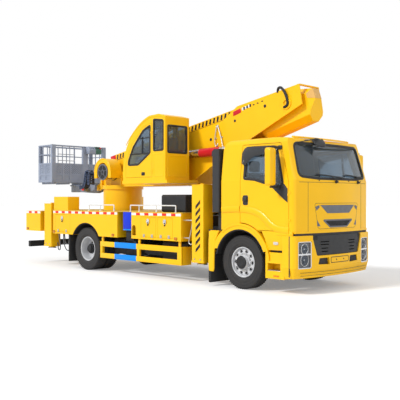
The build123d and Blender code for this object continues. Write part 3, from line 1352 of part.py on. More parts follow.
with BuildPart() as operator_door_glass:
    add(op_glass_outer)
    add(op_glass_inner, mode=Mode.SUBTRACT)
    op_side_cut(op_door_window, -seat_gap, op_y[0] - 10, op_y[0] + 100, Mode.INTERSECT)
save(operator_door_glass, "operator_door_glass")
with BuildPart() as operator_interior:
    middle = (op_y[0] + op_y[1]) / 2
    y0, y1 = middle - 225, middle + 225
    side_prism([(300, 2500), (330, 2480), (790, 2480), (790, 2600), (330, 2625), (300, 2590)], y0, y1)
    side_prism([(770, 2480), (860, 2480), (930, 3060), (900, 3110), (850, 3100), (780, 2640)], y0, y1)
    block(350, 740, middle - 180, middle + 180, op_floor + op_wall + seat_gap, 2481)
    for arm_y in (middle - 295, middle + 245):
        side_prism([(420, op_floor + op_wall + seat_gap), (560, op_floor + op_wall + seat_gap), (600, 2600),
                    (590, 2690), (220, 2720), (210, 2650), (400, 2610)], arm_y, arm_y + 50)
        upright(270, arm_y + 25, 11, 2700, 2830)
        upright(270, arm_y + 25, 20, 2825, 2870)
    side_prism([(-250, op_floor + op_wall + seat_gap), (-60, op_floor + op_wall + seat_gap), (-90, 2230),
                (-250, 2330)], middle - 120, middle + 120)
save(operator_interior, "operator_interior")
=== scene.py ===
import json
from math import cos, pi, radians, sin, sqrt

import bmesh
import bpy
from bpy.props import FloatProperty, FloatVectorProperty, IntProperty, PointerProperty
from mathutils import Matrix, Vector


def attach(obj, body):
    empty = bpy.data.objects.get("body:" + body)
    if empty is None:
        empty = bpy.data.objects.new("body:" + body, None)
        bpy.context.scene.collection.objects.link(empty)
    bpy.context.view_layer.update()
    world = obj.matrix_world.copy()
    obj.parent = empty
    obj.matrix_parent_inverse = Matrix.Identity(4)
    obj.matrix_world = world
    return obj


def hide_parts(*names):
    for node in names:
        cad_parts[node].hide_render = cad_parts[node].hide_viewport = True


bl_info = {
    "name": "Boom platform truck",
    "version": (1, 0, 0),
    "blender": (4, 5, 0),
    "location": "View3D > Sidebar > Truck",
    "description": "Finishes and fittings of a truck with a telescopic boom and a work platform",
    "category": "Object",
}

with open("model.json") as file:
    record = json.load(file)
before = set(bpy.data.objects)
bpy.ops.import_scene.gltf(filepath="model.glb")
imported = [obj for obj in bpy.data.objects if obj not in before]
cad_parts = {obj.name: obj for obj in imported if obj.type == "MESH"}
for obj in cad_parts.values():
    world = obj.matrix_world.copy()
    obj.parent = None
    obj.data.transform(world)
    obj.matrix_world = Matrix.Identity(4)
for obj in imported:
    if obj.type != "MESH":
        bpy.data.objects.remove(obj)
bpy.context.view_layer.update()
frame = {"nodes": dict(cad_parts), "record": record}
sides = (("right", -1), ("left", 1))
both = (-1, 1)
axle_height = 0.522
front_axle, rear_axle = 3.2, -1.85
waist = 2.09
nose_radius, nose_centre, nose_lean = 5.606, -0.996, 0.29
cab_half_width, side_lean = 1.245, 0.117
boom_slope, pivot_x, pivot_z = radians(10.76), 3.6, 3.642
turret_face = 0.33
seat_y = 0.56


# Finishes
def feed(tree, node, **values):
    """Sets a node's settings and inputs, and links the inputs that are given another node's output."""
    for key, value in values.items():
        if hasattr(node, key):
            setattr(node, key, value)
            continue
        socket = node.inputs[int(key[1:]) if key[1:].isdigit() else key.replace("_", " ")]
        if isinstance(value, bpy.types.NodeSocket):
            tree.links.new(value, socket)
        else:
            socket.default_value = value


def add_node(tree, kind, result=0, **values):
    """One output of a new node that is fed with the values."""
    node = tree.nodes.new("ShaderNode" + kind)
    feed(tree, node, **values)
    return node.outputs[result]


def surface_noise(tree, size, detail=3.0):
    """Noise fixed to the object, with blotches about as large as size in metres."""
    coords = add_node(tree, "TexCoord", "Object")
    return add_node(tree, "TexNoise", Vector=coords, Scale=1 / size, Detail=detail, Roughness=0.55)


def relief(tree, shader, height, strength, distance):
    """Raises the surface where a value is high."""
    feed(tree, shader, Normal=add_node(tree, "Bump", Height=height, Strength=strength, Distance=distance))


def ramp_between(tree, value, first, last):
    """A colour between two stops, each with its place and colour."""
    ramp = tree.nodes.new("ShaderNodeValToRGB")
    for stop, (place, colour) in zip(ramp.color_ramp.elements, (first, last)):
        stop.position, stop.color = place, (*colour, 1)
    feed(tree, ramp, Fac=value)
    return ramp.outputs["Color"]


def plain(name):
    """A fresh material with its nodes and main shader."""
    material = bpy.data.materials.new(name + "_finish")
    material.use_nodes = True
    return material, material.node_tree, material.node_tree.nodes["Principled BSDF"]


def blotched(name, colour, spread, rough, size, rough_size=0.0, detail=3.0):
    """A fresh material whose colour and roughness change slowly over the surface."""
    material, tree, shader = plain(name)
    noise = surface_noise(tree, size, detail)
    dark = tuple(max(0.0, c * (1 - spread)) for c in colour[:3])
    light = tuple(min(1.0, c * (1 + spread) + 0.002) for c in colour[:3])
    worn = add_node(tree, "MapRange", Value=surface_noise(tree, rough_size) if rough_size else noise, From_Min=0.3,
                    From_Max=0.7, To_Min=rough[0], To_Max=rough[1])
    feed(tree, shader, Base_Color=ramp_between(tree, noise, (0.3, dark), (0.72, light)), Roughness=worn)
    return material, tree, shader


def painted(name, colour, rough=(0.35, 0.5), coat=0.1, spread=0.1, size=0.3):
    """Sprayed paint: slow colour change, orange-peel relief and a clear coat."""
    material, tree, shader = blotched(name, colour, spread, rough, size, size / 4)
    relief(tree, shader, surface_noise(tree, 0.02, 2.0), 0.06, 0.0004)
    feed(tree, shader, Specular_IOR_Level=0.28, Coat_Weight=coat, Coat_Roughness=0.12)
    return material


def moulded(name, colour, rough=(0.5, 0.68), spread=0.15, size=0.1, strength=0.35):
    """Moulded plastic or rubber with a fine grain."""
    material, tree, shader = blotched(name, colour, spread, rough, size)
    relief(tree, shader, surface_noise(tree, 0.003, 2.0), strength, 0.001)
    return material


def metal(name, colour, rough=(0.18, 0.32), size=0.05):
    """Bare or plated metal with faint blotches."""
    material, tree, shader = blotched(name, colour, 0.08, rough, size, detail=4.0)
    relief(tree, shader, surface_noise(tree, 0.01, 2.0), 0.03, 0.0003)
    feed(tree, shader, Metallic=1.0)
    return material


def clear_pane(name, colour, rough=0.1, pass_light=0.35, bend=1.45):
    """Tinted clear glass or plastic with a faint film of dust."""
    material, tree, shader = blotched(name, colour, 0.05, (rough, rough + 0.05), 0.4, 0.15)
    feed(tree, shader, Transmission_Weight=pass_light, IOR=bend)
    return material


def wave(tree, place, direction, size, distortion=0.0):
    """Even bands along one direction."""
    return add_node(tree, "TexWave", "Fac", bands_direction=direction, Vector=place, Scale=size, Distortion=distortion)


def tread_plate(name, colour):
    """Painted plate with raised bars that cross in turn."""
    material, tree, shader = blotched(name, colour, 0.15, (0.4, 0.6), 0.5)
    coords = add_node(tree, "TexCoord", "Object")
    bars = []
    for turn in (pi / 4, -pi / 4):
        place = add_node(tree, "Mapping", Vector=coords, Rotation=(0, 0, turn))
        bars.append(add_node(tree, "Math", operation="MULTIPLY", _0=wave(tree, place, "X", 16),
                             _1=wave(tree, place, "Y", 8)))
    relief(tree, shader, add_node(tree, "Math", operation="MAXIMUM", _0=bars[0], _1=bars[1]), 0.35, 0.003)
    return material


def woven(name, dark, light):
    """Seat cloth: two threads over and under, with a soft sheen."""
    material, tree, shader = plain(name)
    coords = add_node(tree, "TexCoord", "Object")
    cross = add_node(tree, "Math", operation="MULTIPLY", _0=wave(tree, coords, "X", 70, 0.6),
                     _1=wave(tree, coords, "Y", 70, 0.6))
    feed(tree, shader, Base_Color=ramp_between(tree, cross, (0, dark), (1, light)), Roughness=0.85, Sheen_Weight=0.3)
    relief(tree, shader, cross, 0.5, 0.002)
    return material


def finishes(colours):
    """Every finish of the truck, by name."""
    table = (
        (painted, "body_yellow", colours.body, (0.32, 0.45), 0.08, 0.035, 0.9),
        (painted, "structure_black", colours.frame, (0.45, 0.65), 0.0, 0.2),
        (tread_plate, "deck_plate", (0.62, 0.43, 0.06)),
        (painted, "rail_white", (0.76, 0.77, 0.76), (0.3, 0.45), 0.2, 0.04, 0.6),
        (moulded, "plastic_black", (0.018, 0.019, 0.021)),
        (moulded, "plastic_grey", (0.13, 0.14, 0.16)),
        (moulded, "tyre", (0.022, 0.021, 0.021), (0.7, 0.85), 0.25, 0.2, 0.5),
        (painted, "rim_silver", (0.6, 0.61, 0.63), (0.3, 0.42), 0.3, 0.06, 0.15),
        (clear_pane, "glass_tinted", (0.33, 0.42, 0.5), 0.02, 0.9),
        (clear_pane, "lamp_clear", (0.72, 0.75, 0.78), 0.01, 1.0, 1.1),
        (metal, "cylinder_steel", (0.62, 0.63, 0.65)),
        (painted, "basket_grey", colours.platform, (0.38, 0.52)),
        (moulded, "interior_dark", (0.03, 0.032, 0.036)),
        (moulded, "rubber_black", (0.012, 0.012, 0.013), (0.6, 0.8), 0.2, 0.05),
        (clear_pane, "smoke_clear", (0.1, 0.105, 0.11), 0.08, 0.75),
        (clear_pane, "lens_orange", (0.95, 0.3, 0.01)),
        (clear_pane, "lens_white", (0.78, 0.8, 0.8), 0.1, 0.3),
        (clear_pane, "lens_red", (0.7, 0.02, 0.015)),
        (metal, "chrome", (0.75, 0.76, 0.78), (0.05, 0.12), 0.1),
        (metal, "mirror_glass", (0.8, 0.82, 0.84), (0.015, 0.03), 0.3),
        (metal, "zinc", (0.55, 0.55, 0.53), (0.3, 0.45), 0.02),
        (painted, "jacket_red", colours.cylinder, (0.3, 0.45)),
        (painted, "panel_blue", colours.accent, (0.35, 0.5), 0.05, 0.06, 0.4),
        (painted, "panel_sky", (0.0, 0.25, 0.82), (0.35, 0.5), 0.05, 0.06, 0.4),
        (painted, "stripe_black", (0.012, 0.012, 0.013), (0.35, 0.5), 0.1, 0.15, 0.2),
        (painted, "tape_white", (0.78, 0.78, 0.78), (0.35, 0.45), 0.1, 0.04, 0.1),
        (painted, "tape_red", (0.75, 0.02, 0.02), (0.35, 0.45), 0.1, 0.06, 0.1),
        (painted, "tip_tan", (0.72, 0.42, 0.13), (0.4, 0.55)),
        (painted, "control_green", (0.05, 0.13, 0.09), (0.4, 0.55), 0.1, 0.1, 0.2),
        (moulded, "chain_blue", (0.03, 0.05, 0.11), (0.45, 0.6), 0.2, 0.05),
        (woven, "seat_cloth", (0.045, 0.05, 0.062), (0.1, 0.11, 0.13)),
        (moulded, "control_red", (0.6, 0.015, 0.01), (0.3, 0.4), 0.05),
    )
    return {name: make(name, *values) for make, name, *values in table}


# Shapes
def turn_out(shape):
    """Turns the faces outwards."""
    bmesh.ops.recalc_face_normals(shape, faces=shape.faces[:])


def soften(shape, edges, width, steps=2):
    """Rounds edges."""
    bmesh.ops.bevel(shape, geom=edges, offset=width, segments=steps, profile=0.5, affect="EDGES", clamp_overlap=True)


def as_mesh(shape, name="part"):
    """A mesh of a finished shape."""
    mesh = bpy.data.meshes.new(name)
    shape.to_mesh(mesh)
    shape.free()
    return mesh


def link(name, data):
    """A new object in the scene."""
    made = bpy.data.objects.new(name, data)
    bpy.context.scene.collection.objects.link(made)
    return made


def settled(holder):
    """A new mesh with the object's modifiers in it."""
    bpy.context.view_layer.update()
    return bpy.data.meshes.new_from_object(holder.evaluated_get(bpy.context.evaluated_depsgraph_get()))


def put_in(shape, part, place=None):
    """Moves a finished part into a larger shape."""
    mesh = as_mesh(part)
    if place is not None:
        mesh.transform(place)
    shape.from_mesh(mesh)
    bpy.data.meshes.remove(mesh)


def add_loft(shape, rings, ends=True, loop=False):
    """A skin between rings that have the same number of points."""
    rows = [[shape.verts.new(point) for point in ring] for ring in rings]
    count = len(rows[0])
    for first, second in zip(rows, rows[1:] + (rows[:1] if loop else [])):
        for i in range(count):
            j = (i + 1) % count
            shape.faces.new((first[i], first[j], second[j], second[i]))
    if ends and not loop:
        shape.faces.new(rows[0])
        shape.faces.new(rows[-1])


def add_softened(shape, rings, edge, steps, place=None):
    """A closed skin between rings, with rounded edges."""
    part = bmesh.new()
    add_loft(part, rings)
    turn_out(part)
    if edge:
        soften(part, part.edges[:], edge, steps)
    put_in(shape, part, place)


def add_prism(shape, outline, push, edge=0.0, steps=2):
    """A flat outline of points in space, pushed along a vector, with rounded edges."""
    first = [Vector(p) for p in outline]
    add_softened(shape, [first, [p + Vector(push) for p in first]], edge, steps)


def add_box(shape, low, high, edge=0.004, steps=2):
    """A box between two corners, with rounded edges."""
    (x0, y0, z0), (x1, y1, z1) = low, high
    add_softened(shape, [[(x0, y0, z), (x1, y0, z), (x1, y1, z), (x0, y1, z)] for z in (z0, z1)], edge, steps)


def side_box(shape, x, y, z, edge=0.004, out=-1, steps=2):
    """A box given by its pairs of X, distance outwards and Z, on one side of the truck."""
    low, high = sorted((out * y[0], out * y[1]))
    add_box(shape, (x[0], low, z[0]), (x[1], high, z[1]), edge, steps)


def facing(place, direction):
    """The move and turn of a shape made round Z that stands at a place and faces a direction."""
    return Matrix.Translation(place) @ Vector(direction).to_track_quat("Z", "Y").to_matrix().to_4x4()


def angles(count, shift=0.0):
    """Even angles round a circle."""
    return [2 * pi * (k + shift) / count for k in range(count)]


def add_turned(shape, profile, place, direction, sides=24, loop=False):
    """A turned shape: radius and height pairs round an axis."""
    spot = facing(place, direction)
    add_loft(shape, [[spot @ Vector((max(radius, 0.0004) * cos(a), max(radius, 0.0004) * sin(a), height))
                      for a in angles(sides)] for radius, height in profile], loop=loop)


def add_rod(shape, first, second, radius, sides=12, soft=0.0):
    """A straight round bar between two points, with rounded ends if asked."""
    first, second = Vector(first), Vector(second)
    length = (second - first).length
    profile = [(radius - soft, 0), (radius, soft), (radius, length - soft), (radius - soft, length)]
    add_turned(shape, profile if soft else profile[1:3], first, second - first, sides)


def rounded(outline, radius, steps=5):
    """A closed outline of flat points with rounded corners."""
    made = []
    for i, corner in enumerate(outline):
        corner = Vector(corner)
        before, after = Vector(outline[i - 1]), Vector(outline[(i + 1) % len(outline)])
        reach = min(radius, (before - corner).length / 2.1, (after - corner).length / 2.1)
        start = corner + (before - corner).normalized() * reach
        end = corner + (after - corner).normalized() * reach
        for t in (k / steps for k in range(steps + 1)):
            made.append(start * (1 - t) ** 2 + corner * 2 * t * (1 - t) + end * t ** 2)
    return made


def oblong(x0, x1, z0, z1, radius, steps=5):
    """A flat rectangle with rounded corners."""
    return rounded([(x0, z0), (x1, z0), (x1, z1), (x0, z1)], radius, steps)


def divided(outline, longest):
    """A closed outline with its long runs divided."""
    made = []
    for i, start in enumerate(outline):
        end = outline[(i + 1) % len(outline)]
        count = max(1, int((end - start).length / longest))
        made.extend(start.lerp(end, k / count) for k in range(count))
    return made


def add_strip(shape, path, normals, width, height, sink=0.002, closed=True):
    """A crowned strip along a path on a surface."""
    rings = []
    path = [Vector(p) for p in path]
    count = len(path)
    for i, point in enumerate(path):
        ahead = path[(i + 1) % count] if closed or i < count - 1 else path[i]
        behind = path[i - 1] if closed or i > 0 else path[i]
        normal = Vector(normals).normalized()
        side = (ahead - behind).normalized().cross(normal).normalized()
        rings.append([point + side * across * width + normal * up for across, up in (
            (-0.5, -sink), (-0.5, height * 0.5), (-0.3, height), (0.3, height), (0.5, height * 0.5), (0.5, -sink))])
    add_loft(shape, rings, loop=closed)


def add_mirror(shape):
    """Adds the same shape on the other side of the truck."""
    made = bmesh.ops.duplicate(shape, geom=shape.verts[:] + shape.edges[:] + shape.faces[:])
    new = [part for part in made["geom"] if isinstance(part, bmesh.types.BMVert)]
    bmesh.ops.scale(shape, vec=(1, -1, 1), verts=new)


def finish_piece(name, mesh, finish, body, crease=32, replaces=()):
    """Links a mesh as a piece, shades it, and gives it its finish and body."""
    mesh.polygons.foreach_set("use_smooth", [True] * len(mesh.polygons))
    mesh.set_sharp_from_angle(angle=radians(crease))
    made = link(name, mesh)
    mesh.materials.clear()
    mesh.materials.append(bpy.data.materials[finish + "_finish"])
    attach(made, body)
    if replaces:
        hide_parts(*replaces)
    return made


def piece(name, shape, finish, body="chassis", replaces=()):
    """A piece from a finished shape, with its faces turned outwards."""
    turn_out(shape)
    return finish_piece(name, as_mesh(shape, name), finish, body, replaces=replaces)


def pipes(name, runs, radius, finish, body="chassis", sides=3):
    """Rigid pipes that follow smooth lines."""
    curve = bpy.data.curves.new(name, "CURVE")
    curve.dimensions = "3D"
    curve.bevel_depth = radius
    curve.bevel_resolution = sides
    curve.resolution_u = 8
    curve.use_fill_caps = True
    for points in runs:
        spline = curve.splines.new("NURBS")
        spline.points.add(len(points) - 1)
        for place, point in zip(spline.points, points):
            place.co = (*point, 1)
        spline.order_u = 3
        spline.use_endpoint_u = True
    holder = link(name + "_line", curve)
    mesh = settled(holder)
    bpy.data.objects.remove(holder)
    bpy.data.curves.remove(curve)
    return finish_piece(name, mesh, finish, body, 50)


def spread_tree():
    """Geometry nodes that set one small part at every point, turned as the point says."""
    tree = bpy.data.node_groups.new("spread", "GeometryNodeTree")
    sockets = {}
    for name in ("Geometry", "Object", "Material"):
        sockets[name] = tree.interface.new_socket(name=name, in_out="INPUT", socket_type="NodeSocket" + name).identifier
    tree.interface.new_socket(name="Geometry", in_out="OUTPUT", socket_type="NodeSocketGeometry")
    start, end, points, part, turned, spots, whole, paint = (tree.nodes.new(kind) for kind in (
        "NodeGroupInput", "NodeGroupOutput", "GeometryNodeMeshToPoints", "GeometryNodeObjectInfo",
        "GeometryNodeInputNamedAttribute", "GeometryNodeInstanceOnPoints", "GeometryNodeRealizeInstances",
        "GeometryNodeSetMaterial"))
    turned.data_type = "FLOAT_VECTOR"
    turned.inputs["Name"].default_value = "turn"
    for first, output, second, entry in (
            (start, "Geometry", points, "Mesh"), (start, "Object", part, "Object"), (points, "Points", spots, "Points"),
            (part, "Geometry", spots, "Instance"), (turned, "Attribute", spots, "Rotation"),
            (spots, "Instances", whole, "Geometry"), (whole, "Geometry", paint, "Geometry"),
            (start, "Material", paint, "Material"), (paint, "Geometry", end, "Geometry")):
        tree.links.new(first.outputs[output], second.inputs[entry])
    return tree, sockets


def spread(name, part, spots, finish, body="chassis", slot=None):
    """One piece made of the same small part at many spots: place, the way it faces, the way its X points."""
    turn_out(part)
    part_object = link(name + "_part", as_mesh(part))
    points = bpy.data.meshes.new(name + "_points")
    points.from_pydata([tuple(place) for place, up, along in spots], [], [])
    turn = points.attributes.new("turn", "FLOAT_VECTOR", "POINT")
    for i, (place, up, along) in enumerate(spots):
        up = Vector(up).normalized()
        side = up.cross(Vector(along)).normalized()
        turn.data[i].vector = Matrix((side.cross(up), side, up)).transposed().to_euler()
    holder = link(name + "_points", points)
    tree, sockets = spread_tree()
    modifier = holder.modifiers.new("spread", "NODES")
    modifier.node_group = tree
    modifier[sockets["Object"]] = part_object
    modifier[sockets["Material"]] = bpy.data.materials[finish + "_finish"]
    mesh = settled(holder)
    holder.modifiers.remove(modifier)
    for done in (holder, part_object):
        bpy.data.objects.remove(done)
    bpy.data.node_groups.remove(tree)
    mesh.name = name
    for extra in [a.name for a in mesh.attributes if a.name == "turn"]:
        mesh.attributes.remove(mesh.attributes[extra])
    return finish_piece(name, mesh, finish, body)


def bolt(radius, height):
    """A hexagon head on a washer."""
    part = bmesh.new()
    add_turned(part, [(radius * 1.35, 0), (radius * 1.35, height * 0.2), (radius * 1.1, height * 0.25)],
               (0, 0, 0), (0, 0, 1), 12)
    add_turned(part, [(radius, height * 0.2), (radius, height * 0.9), (radius * 0.86, height)],
               (0, 0, 0), (0, 0, 1), 6)
    return part


def colour(name, description, default):
    """A colour that the panel shows."""
    return FloatVectorProperty(name=name, description=description, subtype="COLOR", default=default, min=0, max=1)


def length(name, description, default, low, high):
    """A length that the panel shows."""
    return FloatProperty(name=name, description=description, default=default, min=low, max=high, unit="LENGTH")


class TruckColours(bpy.types.PropertyGroup):
    body: colour("Body", "Paint of the cab, boom and lockers", (0.95, 0.53, 0.002))
    frame: colour("Frame", "Paint of the chassis", (0.02, 0.021, 0.023))
    platform: colour("Platform", "Paint of the platform", (0.28, 0.32, 0.41))
    cylinder: colour("Cylinders", "Paint of the luffing cylinders' jackets", (0.62, 0.01, 0.02))
    accent: colour("Side boxes", "Paint of the boxes between the lockers", (0.0, 0.03, 0.6))


class TruckSizes(bpy.types.PropertyGroup):
    rail: length("Hand rail radius", "Half the thickness of the deck's hand rails", 0.0135, 0.005, 0.03)
    seal: length("Window seal width", "Width of the rubber round the cab's windows", 0.05, 0.02, 0.08)
    hose: length("Hose radius", "Half the thickness of the hoses at the boom's pivot", 0.027, 0.01, 0.04)
    swell: length("Cushion swell", "How far a cushion's surface may be blown out", 0.018, 0.0, 0.03)
    blocks: IntProperty(name="Tread blocks", description="Tread blocks round one row of a tyre", default=64, min=24,
                        max=96)


class TRUCK_OT_finishes(bpy.types.Operator):
    """Give every node of the truck its finish"""
    bl_idname = "truck.finishes"
    bl_label = "Finishes"

    def execute(self, context):
        made = finishes(context.scene.truck_colours)
        slots = {entry["node"]: entry["material_slot"] for entry in frame["record"]["subparts"]}
        for name, node in frame["nodes"].items():
            node.data.materials.clear()
            node.data.materials.append(made[slots[name]])
        return {"FINISHED"}


def shapes(count):
    """Empty shapes."""
    return [bmesh.new() for _ in range(count)]


def circle(centre, wide, turns, high=None):
    """Points round an upright circle or oval that faces sideways."""
    x, y, z = centre
    return [Vector((x + wide * cos(a), y, z + (high or wide) * sin(a))) for a in turns]


# Wheels
tyre_side = [(0.291, 0.09), (0.292, 0.100), (0.300, 0.112), (0.318, 0.121), (0.335, 0.132), (0.350, 0.134),
             (0.353, 0.139), (0.395, 0.1425), (0.402, 0.1400), (0.408, 0.1425), (0.452, 0.139), (0.458, 0.1360),
             (0.464, 0.138), (0.490, 0.134), (0.503, 0.127)]
tyre_ribs = [(-0.108, -0.068), (-0.06, -0.024), (-0.016, 0.016), (0.024, 0.06), (0.068, 0.108)]
front_hub = [(0.122, 0.0), (0.126, 0.008), (0.118, 0.02), (0.1, 0.028), (0.06, 0.034), (0.05, 0.030), (0.0, 0.030)]
rear_hub = [(0.118, -0.05), (0.122, 0.0), (0.114, 0.012), (0.09, 0.016), (0.085, 0.05), (0.07, 0.06), (0.0, 0.062)]
front_bolt = [(0.009, -0.004), (0.009, 0.005), (0.006, 0.008)]
rear_bolt = [(0.008, -0.004), (0.008, 0.008), (0.005, 0.011)]
block_rows = [(-0.121, 0.0), (0.121, 0.5), (-0.042, 0.25), (0.042, 0.75)]


def add_tyre(shape, x, y):
    """One tyre's carcass round its axle line, with stepped side walls and grooves between its ribs."""
    tread = []
    for low, high in tyre_ribs:
        tread += [(0.509, low - 0.0035), (0.5195, low), (0.5205, (low + high) / 2), (0.5195, high),
                  (0.509, high + 0.0035)]
    profile = [(r, -a) for r, a in tyre_side] + tread + [(r, a) for r, a in reversed(tyre_side)]
    add_turned(shape, profile, (x, y, axle_height), (0, 1, 0), 96, loop=True)


def tread_spots(x, y, rows, count):
    """Where the tread's blocks sit round one tyre."""
    foot = 0.5125
    return [((x + foot * cos(a), y + across, axle_height + foot * sin(a)), (cos(a), 0, sin(a)), (0, 1, 0))
            for across, shift in rows for a in angles(count, shift)]


class TRUCK_OT_wheels(bpy.types.Operator):
    """Make the tyres with their treads, the hub caps, the rims' lips, the painted shade in and behind the rims' hand
    holes, and the nut washers
    """
    bl_idname = "truck.wheels"
    bl_label = "Wheels"

    def execute(self, context):
        blocks = context.scene.truck_sizes.blocks
        for side, out in sides:
            for name, x, places, rows, body, node, face, deep, hub, bolts, head in (
                    ("front", front_axle, [1.05], block_rows[:2], f"front_wheel_{side}", f"tyre_front_{side}", 0.1495,
                     0.03, front_hub, (8, 0.085, 0.03), front_bolt),
                    ("rear", rear_axle, [0.765, 1.085], block_rows, f"rear_wheels_{side}", f"tyres_rear_{side}", 0.02,
                     -0.172, rear_hub, (10, 0.1, 0.012), rear_bolt)):
                carcass, block, cap, lip, shade = shapes(5)
                spots = []
                for y in places:
                    add_tyre(carcass, x, out * y)
                    spots += tread_spots(x, out * y, rows, blocks)
                piece(f"tyre_{name}_{side}_carcass", carcass, "tyre", body, replaces=(node,))
                add_box(block, (-0.0125, -0.008, -0.006), (0.0125, 0.008, 0.0085), 0.002, 1)
                spread(f"tyre_{name}_{side}_tread", block, spots, "tyre", body)
                outwards, outer = (0, out, 0), out * places[-1]
                add_turned(cap, hub, (x, outer + out * face, axle_height), outwards, 40)
                count, radius, lift = bolts
                for spot in circle((x, outer + out * (face + lift), axle_height), radius, angles(count)):
                    add_turned(cap, head, spot, outwards, 6)
                piece(f"hub_cap_{name}_{side}", cap, "structure_black", body)
                add_turned(lip, [(0.292, -0.012), (0.296, 0.004), (0.29, 0.01), (0.279, 0.006), (0.274, -0.012)],
                           (x, outer + out * 0.103, axle_height), outwards, 64, loop=True)
                piece(f"rim_lip_{name}_{side}", lip, "rim_silver", body)
                # painted shade: a dark ring behind the hand holes stands in for the shade inside the wheel
                add_turned(shade, [(0.17, 0), (0.268, 0), (0.268, 0.006), (0.17, 0.006)],
                           (x, outer + out * deep, axle_height), outwards, 48, loop=True)
                piece(f"rim_shade_{name}_{side}", shade, "rubber_black", body)
                if name == "front":
                    washers, holes = shapes(2)
                    for spot in circle((x, outer + out * 0.072, axle_height), 0.1675, angles(10, 0.5)):
                        add_turned(washers, [(0.0225, 0), (0.0225, 0.004), (0.019, 0.007), (0.019, 0.012)], spot,
                                   outwards, 12)
                    piece(f"nut_washers_{side}", washers, "zinc", body)
                    # painted shade: dark oval plates on the rim's face stand in for the shade in its hand holes
                    for middle in angles(10):
                        outline = []
                        for t in angles(20):
                            radius, a = 0.222 + 0.033 * cos(t), middle + 0.19 * sin(t)
                            depth = 0.0785 - 0.5 * max(0.0, radius - 0.232)
                            outline.append((x + radius * cos(a), outer + out * depth, axle_height + radius * sin(a)))
                        add_prism(holes, outline, (0, -out * 0.006, 0))
                    piece(f"hand_holes_{side}", holes, "rubber_black", body)
        return {"FINISHED"}


# The driver's cab
def nose_x(y, z):
    """How far forward the cab's front reaches, at a place across and up."""
    return sqrt(nose_radius ** 2 - y * y) + nose_centre - nose_lean * max(0.0, z - waist)


def side_y(z):
    """Half the cab's width at a height."""
    return cab_half_width - side_lean * max(0.0, z - waist)


def on_front(outline, proud=0.0):
    """Points across and up, laid on the cab's front."""
    return [Vector((nose_x(y, z) + proud, y, z)) for y, z in outline]


def on_side(outline, proud=0.0, out=-1):
    """Points along and up, laid on the cab's side."""
    return [Vector((x, out * (side_y(z) + proud), z)) for x, z in outline]


def upright(outline, x):
    """Points across and up at one place along the truck."""
    return [(x, y, z) for y, z in outline]


def beside(outline, y):
    """Points along and up at one place across the truck."""
    return [(x, y, z) for x, z in outline]


def front_band(shape, outline, proud, back, edge):
    """A sheet that follows the cab's front inside an outline of points across and up."""
    part = bmesh.new()
    add_loft(part, [on_front(outline, back), on_front(outline, proud)])
    turn_out(part)
    soften(part, [e for e in part.edges if e.calc_face_angle(0) > 1], edge)
    put_in(shape, part)


def front_sheet(shape, top, low, proud, back, steps=24):
    """A sheet on the cab's front between two level edges, each with its half width and height."""
    add_loft(shape, [[(nose_x(t * wide, z) + x, t * wide, z)
                      for (wide, z), x in ((top, proud), (low, proud), (low, back), (top, back))]
                     for t in (2 * k / steps - 1 for k in range(steps + 1))])


windscreen = [(-1.085, 2.16), (-0.6, 2.12), (0.6, 2.12), (1.085, 2.16), (1.03, 2.775), (-1.03, 2.775)]
side_window = [(3.3, 2.13), (3.56, 2.11), (3.83, 2.04), (4.19, 1.96), (4.24, 2.05), (4.05, 2.69), (3.3, 2.69)]
visor_edge = [(3.235, 2.5), (3.25, 2.42), (3.29, 2.385), (3.35, 2.4), (3.42, 2.48), (3.54, 2.55), (3.8, 2.585),
              (4.03, 2.6), (4.09, 2.61), (4.06, 2.72), (4.0, 2.735), (3.5, 2.745), (3.33, 2.742), (3.265, 2.705),
              (3.235, 2.62)]
front_normal = (1, 0, nose_lean)


class TRUCK_OT_cab_seals(bpy.types.Operator):
    """Make the rubber seals round the cab's windows"""
    bl_idname = "truck.cab_seals"
    bl_label = "Cab seals"

    def execute(self, context):
        seals = bmesh.new()
        width = context.scene.truck_sizes.seal
        add_strip(seals, on_front(divided(rounded(windscreen, 0.1), 0.08), -0.004), front_normal, width, 0.012)
        rear_window = divided(oblong(-0.5, 0.5, 2.25, 2.65, 0.045), 0.1)
        add_strip(seals, upright(rear_window, 2.708), (-1, 0, 0), width, 0.012)
        piece("window_seals", seals, "rubber_black")
        for side, out in sides:
            seal = bmesh.new()
            path = on_side(divided(rounded(side_window, 0.03), 0.1), -0.003, out)
            add_strip(seal, path, (0, out, side_lean), width, 0.01)
            # upright between the quarter window and the wind-down window
            add_prism(seal, on_side([(3.905, 2.03), (3.95, 2.02), (3.93, 2.69), (3.885, 2.69)], 0.002, out),
                      (0, -out * 0.022, 0), 0.003)
            piece(f"door_window_frame_{side}", seal, "rubber_black", f"cab_door_{side}")
        return {"FINISHED"}


